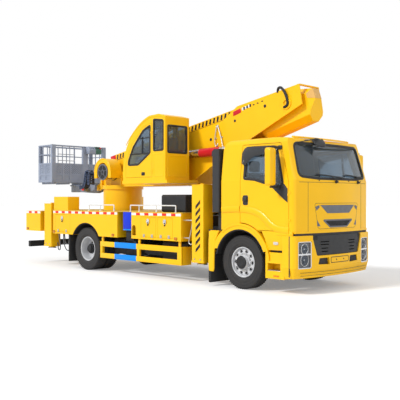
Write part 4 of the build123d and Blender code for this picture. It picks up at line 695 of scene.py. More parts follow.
class TRUCK_OT_door_trim(bpy.types.Operator):
    """Make the cab doors' visors, handles, rubbing trims and mirrors"""
    bl_idname = "truck.door_trim"
    bl_label = "Door trim"

    def execute(self, context):
        for side, out in sides:
            body = f"cab_door_{side}"
            visor, black, cover, glass, rims = shapes(5)
            low = on_side(visor_edge, 0.012, out)
            crown = [p + Vector((0, out * (0.03 if 0 < p.z - 2.39 < 0.25 else 0.006), 0)) for p in low]
            add_softened(visor, [low, crown], 0.003, 2)
            piece(f"rain_visor_{side}", visor, "smoke_clear", body)

            # handle in its dish, and its lock
            dish = oblong(3.275, 3.405, 1.625, 1.815, 0.035)
            add_prism(black, on_side(dish, -0.004, out), (0, out * 0.008, 0), 0.002)
            side_box(black, (3.288, 3.392), (1.25, 1.283), (1.7, 1.785), 0.014, out, 3)
            add_turned(black, [(0.011, 0), (0.011, 0.006), (0.008, 0.008)], (3.34, out * 1.2485, 1.658), (0, out, 0),
                       16)
            # trim below the quarter window
            wedge = [(3.93, 2.005), (4.2, 1.945), (4.262, 2.03), (4.35, 1.93), (4.35, 1.68), (4.26, 1.74), (4.12, 1.85)]
            add_prism(black, on_side(wedge, -0.004, out), (0, out * 0.012, 0), 0.004)
            # mirror brackets
            add_rod(black, (4.13, out * 1.45, 1.955), (4.13, out * 1.45, 2.7), 0.0125)
            for z in (1.96, 2.69):
                y = side_y(z)
                side_box(black, (4.085, 4.175), (y - 0.01, y + 0.035), (z - 0.035, z + 0.035), 0.01, out)
                add_rod(black, (4.13, out * (y + 0.01), z), (4.13, out * 1.478, z), 0.0165, 12, 0.004)
            piece(f"door_fittings_{side}", black, "plastic_black", body)

            face = oblong(1.37, 1.56, 1.985, 2.672, 0.05)
            add_loft(cover, [[(x, out * (1.465 + (p.x - 1.465) * (1 - shrink / 0.095)),
                               2.3285 + (p.y - 2.3285) * (1 - shrink / 0.34)) for p in face]
                             for x, shrink in ((4.079, 0.0), (4.15, 0.0), (4.185, 0.012), (4.2, 0.045))])
            piece(f"mirror_cover_{side}", cover, "body_yellow", body)
            for z0, z1 in ((2.042, 2.231), (2.31, 2.64)):
                face = oblong(1.403, 1.527, z0, z1, 0.02)
                add_prism(glass, [(4.0748, out * y, z) for y, z in face], (-0.003, 0, 0), 0.001)
            piece(f"mirror_faces_{side}", glass, "mirror_glass", body)
            for z0, z1 in ((2.02, 2.252), (2.298, 2.662)):
                rim = oblong(1.383, 1.547, z0, z1, 0.03)
                add_strip(rims, [(4.083, out * y, z) for y, z in rim], (-1, 0, 0), 0.02, 0.012)
            piece(f"mirror_rims_{side}", rims, "plastic_black", body)
        return {"FINISHED"}


class TRUCK_OT_cab_front(bpy.types.Operator):
    """Make the wipers, the front mirror, the grille trims, the turn lamps, the cab's seams and the arch flares"""
    bl_idname = "truck.cab_front"
    bl_label = "Cab front"

    def execute(self, context):
        black, grey, slats, lamps, nose, backs, flares = shapes(7)
        # wipers: pivot across, blade's ends across and up
        for pivot, near, far in ((0.72, (0.98, 2.165), (0.25, 2.205)), (-0.1, (0.12, 2.15), (-0.66, 2.2))):
            base = Vector((nose_x(pivot, 2.07) + 0.004, pivot, 2.07))
            add_turned(black, [(0.032, 0), (0.032, 0.014), (0.02, 0.03), (0.02, 0.045), (0.01, 0.05)], base,
                       (1, 0, 0), 16)
            middle = on_front([((near[0] + far[0]) / 2, (near[1] + far[1]) / 2)], 0.045)[0]
            add_rod(black, base + Vector((0.035, 0, 0)), middle, 0.008, 8)
            blade = on_front([Vector(near).lerp(Vector(far), k / 8) for k in range(9)], 0.01)
            add_strip(black, blade, front_normal, 0.022, 0.02, closed=False)
            add_rod(black, blade[2] + Vector((0.02, 0, 0)), blade[6] + Vector((0.02, 0, 0)), 0.006, 8)
        # washer jets
        for jet in on_front([(-0.6, 2.085), (0.35, 2.085), (0.85, 2.085)]):
            add_turned(black, [(0.012, 0), (0.012, 0.01), (0.006, 0.014)], jet, (1, 0, 0.2), 10)
        # seams: under the windscreen, beside the nose panel and round the grille
        seams = [[(y / 20, 2.052) for y in range(-22, 23)]]
        seams += [[(y, 1.15 + k * 0.09) for k in range(11)] for y in (-0.885, 0.885)]
        for seam in seams:
            add_strip(black, on_front(seam, -0.003), (1, 0, 0), 0.008, 0.005, closed=False)
        panel = divided(rounded(((-0.72, 1.665), (0.72, 1.665), (0.62, 1.19), (-0.62, 1.19)), 0.06), 0.08)
        add_strip(black, on_front(panel, -0.004), (1, 0, 0), 0.008, 0.0055)
        # front mirror over the screen
        add_turned(black, [(0.02, -0.018), (0.07, -0.012), (0.115, 0.006), (0.138, 0.032), (0.142, 0.05),
                           (0.134, 0.054), (0.12, 0.05)], (4.47, -0.42, 2.83), (-0.6, 0.1, -0.8), 32)
        for foot, tip in (((4.37, -0.93, 2.79), (4.47, -0.5, 2.865)), ((4.36, -0.75, 2.83), (4.46, -0.45, 2.87)),
                          ((4.37, -0.12, 2.82), (4.47, -0.36, 2.87))):
            add_rod(black, foot, tip, 0.009, 10)
        piece("cab_front_fittings", black, "plastic_black")

        front_sheet(grey, (0.565, 1.63), (0.365, 1.478), 0.006, -0.02)
        grille = divided(rounded([(-0.47, 1.347), (0.47, 1.347), (0.28, 1.222), (-0.28, 1.222)], 0.02), 0.08)
        add_strip(grey, on_front(grille, -0.002), (1, 0, 0), 0.03, 0.012)
        for out in both:
            for outline, proud in (([(0.6, 1.63), (0.7, 1.6), (0.67, 1.53), (0.585, 1.59)], 0.005),
                                   ([(0.655, 1.36), (0.65, 1.24), (0.56, 1.24)], 0.004)):
                front_band(grey, [(out * y, z) for y, z in outline], proud, -0.01, 0.002)
        piece("grille_trim", grey, "plastic_grey")
        for k in range(4):
            z = 1.242 + k * 0.025
            half = 0.415 - (1.34 - z) * 1.5
            add_strip(slats, on_front([(-half + half * i / 10, z) for i in range(21)], -0.014), (1, 0, 0), 0.014, 0.018,
                      closed=False)
        piece("grille_slats", slats, "plastic_black")
        for out in both:
            add_prism(lamps, beside(oblong(4.032, 4.142, 0.903, 0.959, 0.022), out * 1.242), (0, out * 0.024, 0),
                      0.006, 3)
        piece("turn_lamps", lamps, "lens_white")

        # lower edge of the nose, the roof's ridge, corner panels, and dark panels of painted shade behind the gaps
        front_sheet(nose, (1.2, 1.152), (1.2, 1.116), 0.004, -0.04)
        ridge = [(nose_x(k / 10, 2.9) - 0.1, k / 10, 2.893) for k in range(-9, 10)]
        add_strip(nose, ridge, (0.3, 0, 1), 0.07, 0.022, sink=0.01, closed=False)
        corner = [(3.885, 0.8), (4.3, 0.806), (4.34, 0.93), (4.45, 1.075), (4.45, 1.15), (3.74, 1.15), (3.82, 1.0)]
        for out in both:
            add_prism(nose, beside(corner, out * 1.205), (0, out * 0.043, 0), 0.006)
        piece("nose_edge", nose, "body_yellow")
        # painted shade: black boxes and sheets behind the nose's gaps stand in for the shade inside them
        add_box(backs, (4.3, -0.9, 0.6), (4.425, 0.9, 1.12), 0.01)
        front_sheet(backs, (1.19, 1.13), (1.19, 1.045), -0.012, -0.06)
        front_sheet(backs, (0.665, 1.068), (0.655, 0.985), 0.0155, 0.0)
        for out in both:
            side_box(backs, (3.93, 4.39), (0.86, 1.2), (0.765, 1.135), 0.008, out)
            side_box(backs, (4.398, 4.418), (1.268, 1.2768), (0.335, 1.07), 0.001, out)
        piece("nose_backs", backs, "plastic_black")

        ring = circle((front_axle, -1.261, axle_height), 0.728, [radians(k) for k in range(8, 150, 4)])
        for path, width, height in (
                ([p for p in ring if 2.72 < p.x], 0.045, 0.014),
                (beside([(2.73, 1.53), (2.9, 1.545), (3.1, 1.552), (3.2, 1.552)], -1.243), 0.12, 0.028),
                (beside([(4.1, 1.105), (4.25, 1.098), (4.43, 1.09)], -1.247), 0.05, 0.01)):
            add_strip(flares, path, (0, -1, 0), width, height, sink=0.004, closed=False)
        add_mirror(flares)
        piece("arch_flares", flares, "body_yellow")
        shoulder = [(3.222, 1.551), (3.4, 1.538), (3.56, 1.512), (3.7, 1.46), (3.82, 1.38), (3.92, 1.29),
                    (4.02, 1.225), (4.14, 1.19), (4.27, 1.175), (4.38, 1.17)]
        for side, out in sides:
            swell = bmesh.new()
            add_strip(swell, beside(shoulder, out * 1.243), (0, out, 0), 0.12, 0.028, sink=0.004, closed=False)
            piece(f"door_shoulder_{side}", swell, "body_yellow", f"cab_door_{side}")
        return {"FINISHED"}


def face_x(y):
    """The bumper's front at a place across."""
    return nose_x(y, 1.0) + 0.03


class TRUCK_OT_lamps(bpy.types.Operator):
    """Make the head lamps, fog lamps, tail lamps and the steps' trim"""
    bl_idname = "truck.lamps"
    bl_label = "Lamps and bumper trim"

    def execute(self, context):
        shells, bezels, bowls, covers, bulbs, backs, reds, oranges, whites, treads, reflectors, trim = shapes(12)
        for out in both:
            forward = (1, out * 0.17, 0)
            outline = divided(rounded([(out * 0.838, 0.486), (out * 1.152, 0.486), (out * 1.152, 0.964),
                                       (out * 0.838, 0.964)], 0.035), 0.06)
            front = [Vector((face_x(y) - 0.03, y, z)) for y, z in outline]
            add_loft(shells, [upright(outline, 4.402), front])
            add_loft(backs, [[p + Vector((x, 0, 0)) for p in front] for x in (-0.004, 0.0025)])
            add_strip(bezels, [(face_x(y) - 0.006, y, z) for y, z in outline], (1, out * 0.18, 0), 0.02, 0.008)
            # two lamps one above the other, in round bowls
            for z, radius in ((0.835, 0.092), (0.635, 0.105)):
                y = out * 0.985
                centre = Vector((face_x(y) - 0.027, y, z))
                add_turned(bowls, [(0.03, -0.045), (radius * 0.6, -0.035), (radius * 0.9, -0.015), (radius, 0.002),
                                   (radius + 0.006, 0.004), (radius + 0.008, -0.002), (0.03, -0.06)], centre,
                           forward, 32, loop=True)
                add_turned(bulbs, [(0.018, -0.05), (0.02, -0.01), (0.012, 0.0)], centre, forward, 16)
                add_turned(covers, [(radius, 0.004), (radius * 0.85, 0.013), (radius * 0.5, 0.02), (0.0, 0.022),
                                    (0.0, 0.018), (radius * 0.5, 0.016), (radius * 0.84, 0.009), (radius, 0.0)],
                           centre, forward, 32, loop=True)
                rim = [centre + Vector((0.006, radius * 1.06 * cos(a), radius * 1.06 * sin(a))) for a in angles(32)]
                add_strip(bezels, rim, forward, 0.01, 0.006)
            bar = [(face_x(out * y) - 0.012, out * y, 0.737) for y in (0.845, 0.92, 1.0, 1.08, 1.146)]
            add_strip(bezels, bar, forward, 0.03, 0.008, closed=False)
            # fog lamp recess with two ribs
            for x, half, z, edge in (((4.44, 4.588), 0.17, (0.522, 0.661), 0.01),
                                     ((4.58, 4.598), 0.12, (0.561, 0.575), 0.003),
                                     ((4.58, 4.598), 0.12, (0.603, 0.617), 0.003)):
                side_box(shells, x, (0.4925 - half, 0.4925 + half), z, edge, out)
            # tail lamps on the underride bar
            side_box(shells, (-4.638, -4.622), (0.82, 1.15), (0.46, 0.58), 0.006, out)
            for target, first, last in ((oranges, 1.05, 1.14), (reds, 0.93, 1.045), (whites, 0.83, 0.925)):
                side_box(target, (-4.646, -4.634), (first, last), (0.47, 0.57), 0.008, out, 3)
            # treads and reflectors of the steps
            side_box(treads, (3.885, 4.175), (1.06, 1.236), (0.42, 0.428), 0.003, out)
            for x in (3.905 + k * 0.031 for k in range(9)):
                side_box(treads, (x, x + 0.012), (1.07, 1.23), (0.427, 0.436), 0.002, out, 1)
            side_box(reflectors, (4.02, 4.15), (1.238, 1.246), (0.315, 0.342), 0.003, out)
        piece("lamp_shells", shells, "plastic_black", replaces=("lamps",))
        piece("lamp_bezels", bezels, "chrome")
        piece("lamp_bowls", bowls, "zinc")
        piece("lamp_bulbs", bulbs, "tape_white")
        piece("lamp_backs", backs, "plastic_grey")
        piece("lamp_covers", covers, "lamp_clear")
        piece("tail_lamps_red", reds, "lens_red")
        piece("tail_lamps_orange", oranges, "lens_orange")
        piece("tail_lamps_white", whites, "lens_white")
        piece("step_treads", treads, "zinc")
        piece("step_reflectors", reflectors, "lens_orange")
        # plate holder with its screws, and black lines of painted shade in the bumper's lower creases
        holder = divided(oblong(-0.29, 0.29, 0.552, 0.655, 0.02), 0.08)
        add_strip(trim, [(face_x(y) - 0.001, y, z) for y, z in holder], (1, 0, 0), 0.012, 0.006)
        for y in (-0.12, 0.12):
            add_turned(trim, [(0.014, 0), (0.014, 0.004), (0.009, 0.007)], (face_x(y), y, 0.605), (1, 0, 0), 12)
        # painted shade: dark strips along the bumper's lower creases
        for z in (0.352, 0.405):
            line = [(face_x(y) - 0.0015, y, z) for y in (k / 10 for k in range(-11, 12))]
            add_strip(trim, line, (1, 0, 0), 0.006, 0.003, closed=False)
        piece("bumper_trim", trim, "plastic_black")
        return {"FINISHED"}


# The chassis
class TRUCK_OT_guards(bpy.types.Operator):
    """Make the side guards with their blue bands, the side boxes, the battery boxes and the deck's hand rails"""
    bl_idname = "truck.guards"
    bl_label = "Guards and hand rails"

    def execute(self, context):
        guards, bands, boxes, under, posts = shapes(5)
        low_rail, both_rails = (0.345, 0.46), (0.345, 0.735)
        for x, y, z in (
                ((-1.26, 1.57), (1.222, 1.258), (0.616, 0.735)), ((-1.26, 1.57), (1.222, 1.258), low_rail),
                ((-1.26, -1.18), (1.2235, 1.2565), (0.45, 0.625)), ((0.106, 0.194), (1.2235, 1.2565), (0.45, 0.625)),
                ((1.44, 1.57), (1.2235, 1.2565), (0.45, 0.625)), ((1.552, 1.57), (0.962, 1.24), both_rails),
                ((-1.26, -1.242), (1.14, 1.24), both_rails)):
            side_box(guards, x, y, z)
        for x in (-1.215, 0.15, 1.475):
            side_box(guards, (x - 0.03, x + 0.03), (1.19, 1.224), (0.36, 0.852))
            side_box(guards, (x - 0.022, x + 0.022), (0.965, 1.2), (0.64, 0.69))
        side_box(bands, (-0.705, 0.085), (1.218, 1.262), (0.612, 0.739))
        side_box(bands, (-0.705, 0.085), (1.218, 1.262), (0.341, 0.464))
        side_box(bands, (-0.377, -0.079), (0.9, 1.266), (1.026, 1.056), 0.006)
        side_box(boxes, (-0.376, -0.08), (0.9, 1.2645), (1.057, 1.4475), 0.008)
        for z in (1.12, 1.36):
            side_box(boxes, (-0.36, -0.335), (1.262, 1.2675), (z - 0.04, z + 0.04), 0.003)
        side_box(under, (-1.18, -0.3), (0.53, 0.9), (0.43, 0.8), 0.02)
        for x in (-1.0, -0.74, -0.48):
            side_box(under, (x - 0.02, x + 0.02), (0.525, 0.908), (0.425, 0.808))
        side_box(under, (-0.37, -0.086), (0.7, 1.18), (0.78, 1.03), 0.01)
        for shape in (guards, bands, boxes, under):
            add_mirror(shape)
        piece("side_guards", guards, "body_yellow", replaces=("side_rails",))
        piece("sky_blue_bands", bands, "panel_sky")
        piece("side_box_covers", boxes, "panel_blue")
        piece("battery_boxes", under, "structure_black")
        lines = []
        deck, top, bend = 1.456, 1.6, 0.04
        for first, last, between in ((-1.786, -0.79, (-1.33,)), (-0.176, 1.34, (0.13, 0.72))):
            for y in (-1.205, 1.205):
                lines.append(beside([(first, deck), (first, top - bend), (first, top), (first + bend, top),
                                     (last - bend, top), (last, top), (last, top - bend), (last, deck)], y))
                for x in between:
                    add_rod(posts, (x, y, deck), (x, y, top - 0.008), 0.0125)
                for x in (first, *between, last):
                    add_turned(posts, [(0.013, 0.0), (0.03, 0.001), (0.03, 0.007), (0.018, 0.01), (0.013, 0.018)],
                               (x, y, deck - 0.0015), (0, 0, 1), 20)
        piece("hand_rail_posts", posts, "rail_white")
        pipes("hand_rails", lines, context.scene.truck_sizes.rail, "rail_white")
        return {"FINISHED"}


def arch_liner(shape, x, inner, outer, y0, y1, first, last, steps=28):
    """A bent sheet over a wheel between two angles, in degrees, with a lip at its outer edge."""
    add_loft(shape, [[(x + r * cos(a), y, axle_height + r * sin(a)) for r, y in (
        (outer, y0), (outer, y1), (inner, y1), (inner - 0.012, y1 - 0.004), (inner - 0.012, y1 - 0.012),
        (inner, y1 - 0.014), (inner, y0))]
        for a in (radians(first + (last - first) * k / steps) for k in range(steps + 1))])


class TRUCK_OT_wheel_arches(bpy.types.Operator):
    """Make the wheel arches' black liners, the mud flaps and the front fenders' rear panels"""
    bl_idname = "truck.wheel_arches"
    bl_label = "Wheel arches"

    def execute(self, context):
        flap = [(2.354, 0.07), (2.42, 0.07), (2.424, 0.42), (2.468, 0.6), (2.491, 0.8), (2.492, 1.0), (2.478, 1.13),
                (2.358, 1.13)]
        skin = [(2.362, 0.5), (2.372, 0.33), (2.39, 0.30), (2.5, 0.296), (2.515, 0.34), (2.528, 0.7), (2.56, 0.93),
                (2.66, 1.12), (2.42, 1.12), (2.385, 1.08), (2.366, 0.9)]
        flange = [(2.362, 0.5), (2.372, 0.33), (2.40, 0.33), (2.392, 0.5), (2.396, 1.1), (2.366, 1.1)]
        for side, out in sides:
            liners, part, panel = shapes(3)
            arch_liner(part, rear_axle, 0.63, 0.639, 0.64, 1.262, 32, 148)
            arch_liner(part, front_axle, 0.628, 0.6385, 0.46, 1.256, 20, 168)
            # rear flap and front flap, each with its stiffening ribs
            add_box(part, (-2.623, 0.61, 0.17), (-2.572, 1.24, 0.862), 0.006)
            for y in (0.72, 0.925, 1.13):
                add_box(part, (-2.634, y - 0.02, 0.2), (-2.62, y + 0.02, 0.83), 0.005)
            add_prism(part, beside(flap, 0.69), (0, 0.555, 0), 0.006)
            put_in(liners, part, Matrix.Scale(out, 4, (0, 1, 0)))
            piece(f"arch_liners_{side}", liners, "rubber_black")
            add_prism(panel, beside(skin, out * 1.232), (0, out * 0.034, 0), 0.012, 3)
            add_prism(panel, beside(flange, out), (0, out * 0.25, 0), 0.006)
            piece(f"fender_rear_panel_{side}", panel, "body_yellow")
        return {"FINISHED"}


class TRUCK_OT_locker_trim(bpy.types.Operator):
    """Make the lockers' latches, hinges, reflecting tape and marker lamps"""
    bl_idname = "truck.locker_trim"
    bl_label = "Locker trim"

    def execute(self, context):
        tape, dash, lamps, cases = shapes(4)
        dashes = []
        pitch = 0.2925
        axis_y, axis_z, latch_z = 1.276, 0.9, 1.252
        for first, last, top in ((-0.066, 1.568, 1.434), (-3.278, -0.586, 1.434), (-4.618, -3.902, 1.414)):
            count = int((last - first) / pitch)
            start = first + (last - first - (count - 0.49) * pitch) / 2 + 0.075
            for out in both:
                side_box(tape, (first, last), (1.2695, 1.2715), (top - 0.055, top), 0, out)
                dashes += [((start + k * pitch, out * 1.2716, top - 0.0275), (0, out, 0), (1, 0, 0))
                           for k in range(count)]
        for out in both:
            side_box(tape, (-4.6215, -4.6195), (0.9, 1.26), (1.359, 1.414), 0, out)
            for x, z in ((1.41, 0.9), (-0.747, 0.9), (-3.232, 0.9), (-4.53, 0.94)):
                side_box(cases, (x - 0.048, x + 0.048), (1.269, 1.276), (z - 0.03, z + 0.03), 0.004, out)
                side_box(lamps, (x - 0.045, x + 0.045), (1.272, 1.286), (z - 0.021, z + 0.021), 0.007, out)
        piece("edge_tape", tape, "tape_white")
        add_prism(dash, [(-0.066, -0.0275, 0), (0.072, -0.0275, 0), (0.066, 0.0275, 0), (-0.072, 0.0275, 0)],
                  (0, 0, 0.0012))
        spread("edge_tape_dashes", dash, dashes, "tape_red", slot="lamp_clear")
        piece("marker_lamp_cases", cases, "plastic_black")
        piece("marker_lamps", lamps, "lens_orange")

        for side, out in sides:
            for name, middle, half in (("rear_locker_door", -2.85, 0.33), ("front_locker_rear_door", 0.5175, 0.2475),
                                       ("front_locker_front_door", 1.07, 0.235)):
                dish, key, hinge = shapes(3)
                add_prism(dish, circle((middle, out * 1.281, latch_z), 0.044, angles(32), 0.058), (0, out * 0.005, 0),
                          0.0015)
                add_strip(dish, circle((middle, out * 1.2855, latch_z), 0.041, angles(32), 0.055), (0, out, 0), 0.009,
                          0.005)
                add_turned(key, [(0.017, 0), (0.017, 0.01), (0.012, 0.014)], (middle, out * 1.281, 1.172),
                           (0, out, 0), 20)
                for shape, half_width, y, z, edge, steps in (
                        (dish, 0.018, (1.285, 1.296), (1.222, 1.29), 0.007, 3),
                        (key, 0.005, (1.29, 1.302), (1.156, 1.186), 0.002, 2),
                        (key, 0.015, (1.286, 1.2985), (1.205, 1.228), 0.004, 2)):
                    side_box(shape, (middle - half_width, middle + half_width), y, z, edge, out, steps)
                for x in (middle - half * 0.55, middle + half * 0.55):
                    add_rod(hinge, (x - 0.035, out * axis_y, axis_z), (x + 0.035, out * axis_y, axis_z), 0.0055, 12,
                            0.001)
                    side_box(hinge, (x - 0.03, x + 0.03), (1.2805, 1.2835), (0.906, 0.965), 0.002, out)
                    for shift in (-0.018, 0.018):
                        add_turned(hinge, [(0.006, 0), (0.006, 0.003), (0.003, 0.0045)],
                                   (x + shift, out * 1.2835, 0.948), (0, out, 0), 10)
                for part, shape, finish in (("latch", dish, "chrome"), ("key", key, "plastic_black"),
                                            ("hinges", hinge, "zinc")):
                    piece(f"{name}_{part}_{side}", shape, finish, f"{name}_{side}")
        return {"FINISHED"}


class TRUCK_OT_outriggers(bpy.types.Operator):
    """Make the outriggers' hazard stripes, bolts and collars, the levers and the hydraulic loops"""
    bl_idname = "truck.outriggers"
    bl_label = "Outriggers"

    def execute(self, context):
        for side, out in sides:
            marks = [((2.075, out * 1.2742, 0.742 + k * 0.148), (0, out, 0), (1, 0, 0)) for k in range(7)]
            stripe = bmesh.new()
            add_prism(stripe, [(-out * x, y, 0) for x, y in ((-0.064, -0.025), (-0.064, -0.093), (0.064, 0.025),
                                                             (0.064, 0.093))], (0, 0, 0.0015))
            spread(f"leg_stripes_{side}", stripe, marks, "stripe_black", f"outrigger_beam_front_{side}")
            for place, x0, x1, z in (("front", 1.9, 2.23, 0.44), ("rear", -3.7, -3.37, 0.5)):
                body = f"outrigger_beam_{place}_{side}"
                bolts = [((x, out * 1.274, z + 0.07), (0, out, 0), (1, 0, 0)) for x in (x0 + 0.08, x1 - 0.08)]
                spread(f"leg_bolts_{place}_{side}", bolt(0.013, 0.012), bolts, "zinc", body)
                # collar where the jack leg leaves its box
                collar = bmesh.new()
                for x, y in (((x0 - 0.006, x0 + 0.02), (0.984, 1.276)), ((x1 - 0.02, x1 + 0.006), (0.984, 1.276)),
                             ((x0, x1), (1.262, 1.277))):
                    side_box(collar, x, y, (z + 0.002, z + 0.046), 0.004, out)
                piece(f"leg_collar_{place}_{side}", collar, "body_yellow", body)
        lever = [(1.858, 1.37), (1.835, 1.15), (1.745, 0.9), (1.735, 0.82), (1.79, 0.795), (1.845, 0.81), (1.85, 0.86)]
        pipes("bent_levers", [beside(lever, out * 1.2) for out in both], 0.013, "zinc")
        stays = bmesh.new()
        for x, z in ((1.86, 1.3), (1.77, 0.93)):
            side_box(stays, (1.568, x), (1.188, 1.212), (z - 0.012, z + 0.012), 0.003)
        add_mirror(stays)
        piece("lever_stays", stays, "zinc")
        hoses = [beside(line, out * y) for out in both for y, line in (
            (1.08, [(-3.3, 0.86), (-3.28, 0.7), (-3.23, 0.52), (-3.24, 0.42), (-3.31, 0.4), (-3.345, 0.47),
                    (-3.36, 0.6)]),
            (1.08, [(-3.09, 0.86), (-3.08, 0.66), (-3.03, 0.5), (-2.93, 0.41), (-2.8, 0.42), (-2.72, 0.52),
                    (-2.68, 0.7), (-2.67, 0.86)]),
            (0.98, [(-3.2, 0.86), (-3.16, 0.6), (-3.06, 0.55), (-2.98, 0.62), (-2.96, 0.86)]))]
        pipes("hydraulic_loops", hoses, 0.014, "plastic_grey")
        return {"FINISHED"}


# The boom and what turns with it
def boom(along, rise, y=0.0):
    """A place on the boom: along it from the pivot towards the tail, up across it, and sideways."""
    ahead, up = cos(boom_slope), sin(boom_slope)
    return Vector((pivot_x - along * ahead - rise * up, y, pivot_z - along * up + rise * ahead))


class TRUCK_OT_boom_trim(bpy.types.Operator):
    """Make the boom's hazard band, side lines and end facets, the turret's trim, the red jackets and the hoses"""
    bl_idname = "truck.boom_trim"
    bl_label = "Boom trim"

    def execute(self, context):
        dash, lines, cheeks, reds, plate_reds, tan, dots, band, whites, clamps, jackets, glands = shapes(12)
        spots = [(boom(1.5 + k * 0.1166, 0.226, out * 0.2135), (0, out, 0), (out, 0, 0.19))
                 for out in both for k in range(36)]
        add_prism(dash, [(-0.026, -0.058, 0), (0.026, -0.058, 0), (0.026, 0.058, 0), (-0.026, 0.058, 0)],
                  (0, 0, 0.0015))
        spread("hazard_band", dash, spots, "stripe_black", "boom_base")
        cheek = ((0.166, 0.2092), (0.166, 0.2135), (0.296, 0.2135), (0.302, 0.206), (0.302, 0.095), (0.296, 0.095),
                 (0.188, 0.2092))
        add_prism(tan, ((4.139, 0.1, 3.711), (4.073, 0.1, 3.908), (4.073, -0.1, 3.908), (4.139, -0.1, 3.711)),
                  (0.0035, 0, 0.0012))
        for out in both:
            for shape, start, end, edge_0, edge_1, y, thick, soft in (
                    (lines, 1.4, 5.75, 0.158, 0.147, 0.2095, 0.0015, 0),
                    (reds, 5.66, 5.86, 0.15, 0.296, 0.2132, 0.01, 0.003)):
                corners = ((start, edge_0), (end, edge_0), (end, edge_1), (start, edge_1))
                add_prism(shape, [boom(a, r, out * y) for a, r in corners], (0, out * thick, 0), soft)
            add_prism(cheeks, [boom(1.42, r, out * y) for r, y in cheek], boom(5.68, 0) - boom(1.42, 0))
            add_prism(plate_reds, beside([(2.2, 3.5), (2.42, 3.562), (2.4, 3.652), (2.19, 3.592)], out * turret_face),
                      (0, out * 0.008, 0), 0.003)
            add_prism(tan, ((4.139, out * 0.1, 3.711), (4.073, out * 0.1, 3.908), (3.993, out * 0.21, 3.801),
                            (4.023, out * 0.21, 3.711)), (0.0028, out * 0.0028, 0.001))
            for x, z, radius in ((3.062, 3.632, 0.034), (2.24, 3.397, 0.03), (1.53, 3.044, 0.034)):
                add_turned(dots, [(radius, -0.002), (radius, 0.004), (radius - 0.006, 0.009), (0.01, 0.011)],
                           (x, out * turret_face, z), (0, out, 0))
            for x, z in ((2.76, 3.69), (2.87, 3.712), (2.99, 3.738)):
                side_box(dots, (x - 0.022, x + 0.022), (0.329, 0.335), (z - 0.012, z + 0.012), 0.004, out)
            for k in range(6):
                x, z = 2.44 + k * 0.042, 3.6 + k * 0.0105
                side_box(band if k % 2 else whites, (x, x + 0.04), (0.329, 0.336), (z, z + 0.06), 0.003, out)
            for x, z in ((1.742, 3.335), (1.686, 3.06), (1.86, 3.08)):
                side_box(clamps, (x - 0.03, x + 0.03), (0.328, 0.352), (z - 0.014, z + 0.014), 0.004, out)
            # jacket and bands of the luffing cylinder
            foot = Vector((2.05, out * 0.44, 2.77))
            along = (Vector((-0.8, out * 0.44, 2.7)) - foot).normalized()
            add_turned(jackets, [(0.094, 0), (0.0975, 0.004), (0.0975, 0.61), (0.094, 0.616), (0.086, 0.617),
                                 (0.086, 0.001)], foot + along * 0.105, along, 40, loop=True)
            for place in (0.73, 2.5):
                add_turned(glands, [(0.084, 0), (0.09, 0.002), (0.09, 0.045), (0.084, 0.05)], foot + along * place,
                           along, 36, loop=True)
        piece("boom_side_line", lines, "stripe_black", "boom_base")
        piece("boom_cheeks", cheeks, "body_yellow", "boom_base")
        piece("boom_red_blocks", reds, "jacket_red", "boom_base")
        piece("plate_red_blocks", plate_reds, "jacket_red", "turret")
        piece("boom_end_facet", tan, "tip_tan", "boom_base")
        piece("turret_black_caps", dots, "rubber_black", "turret")
        piece("plate_edge_black", band, "stripe_black", "turret")
        piece("plate_edge_white", whites, "tape_white", "turret")
        loops = [[(x, out * y, z) for x, y, z in (
            (3.385, 0.3175, 3.87), (3.39, 0.322, 3.93), (3.43, 0.345, 3.962), (3.51, 0.37, 3.955), (3.585, 0.378, 3.88),
            (3.64, 0.372, 3.77), (3.668, 0.362, 3.66), (3.655, 0.356, 3.59), (3.6, 0.354, 3.565), (3.565, 0.345, 3.56),
            (3.56, 0.332, 3.56))] for out in both]
        pipes("pivot_hose_loops", loops, context.scene.truck_sizes.hose, "rubber_black", "turret", sides=4)
        thin = [[(x, out * y, z) for x, y, z in line] for out in both for line in (
            ((1.75, 0.332, 3.33), (1.755, 0.35, 3.33), (1.8, 0.36, 3.24), (1.9, 0.37, 2.98), (1.955, 0.395, 2.8),
             (1.96, 0.38, 2.72)),
            ((1.735, 0.332, 3.34), (1.725, 0.35, 3.32), (1.7, 0.365, 3.16), (1.672, 0.365, 2.99), (1.7, 0.36, 2.88),
             (1.74, 0.345, 2.9), (1.745, 0.332, 2.95)))]
        pipes("plate_pipes", thin, 0.0115, "zinc", "turret")
        piece("pipe_clamps", clamps, "zinc", "turret")
        piece("luffing_jackets", jackets, "jacket_red", "luff_barrels")
        piece("cylinder_bands", glands, "zinc", "luff_barrels")
        return {"FINISHED"}


def seal(shape, outline, place, normal, width=0.04, radius=0.035, longest=0.08, height=0.01):
    """A strip round an outline of flat points that are put in place."""
    add_strip(shape, place(divided(rounded(outline, radius), longest)), normal, width, height)


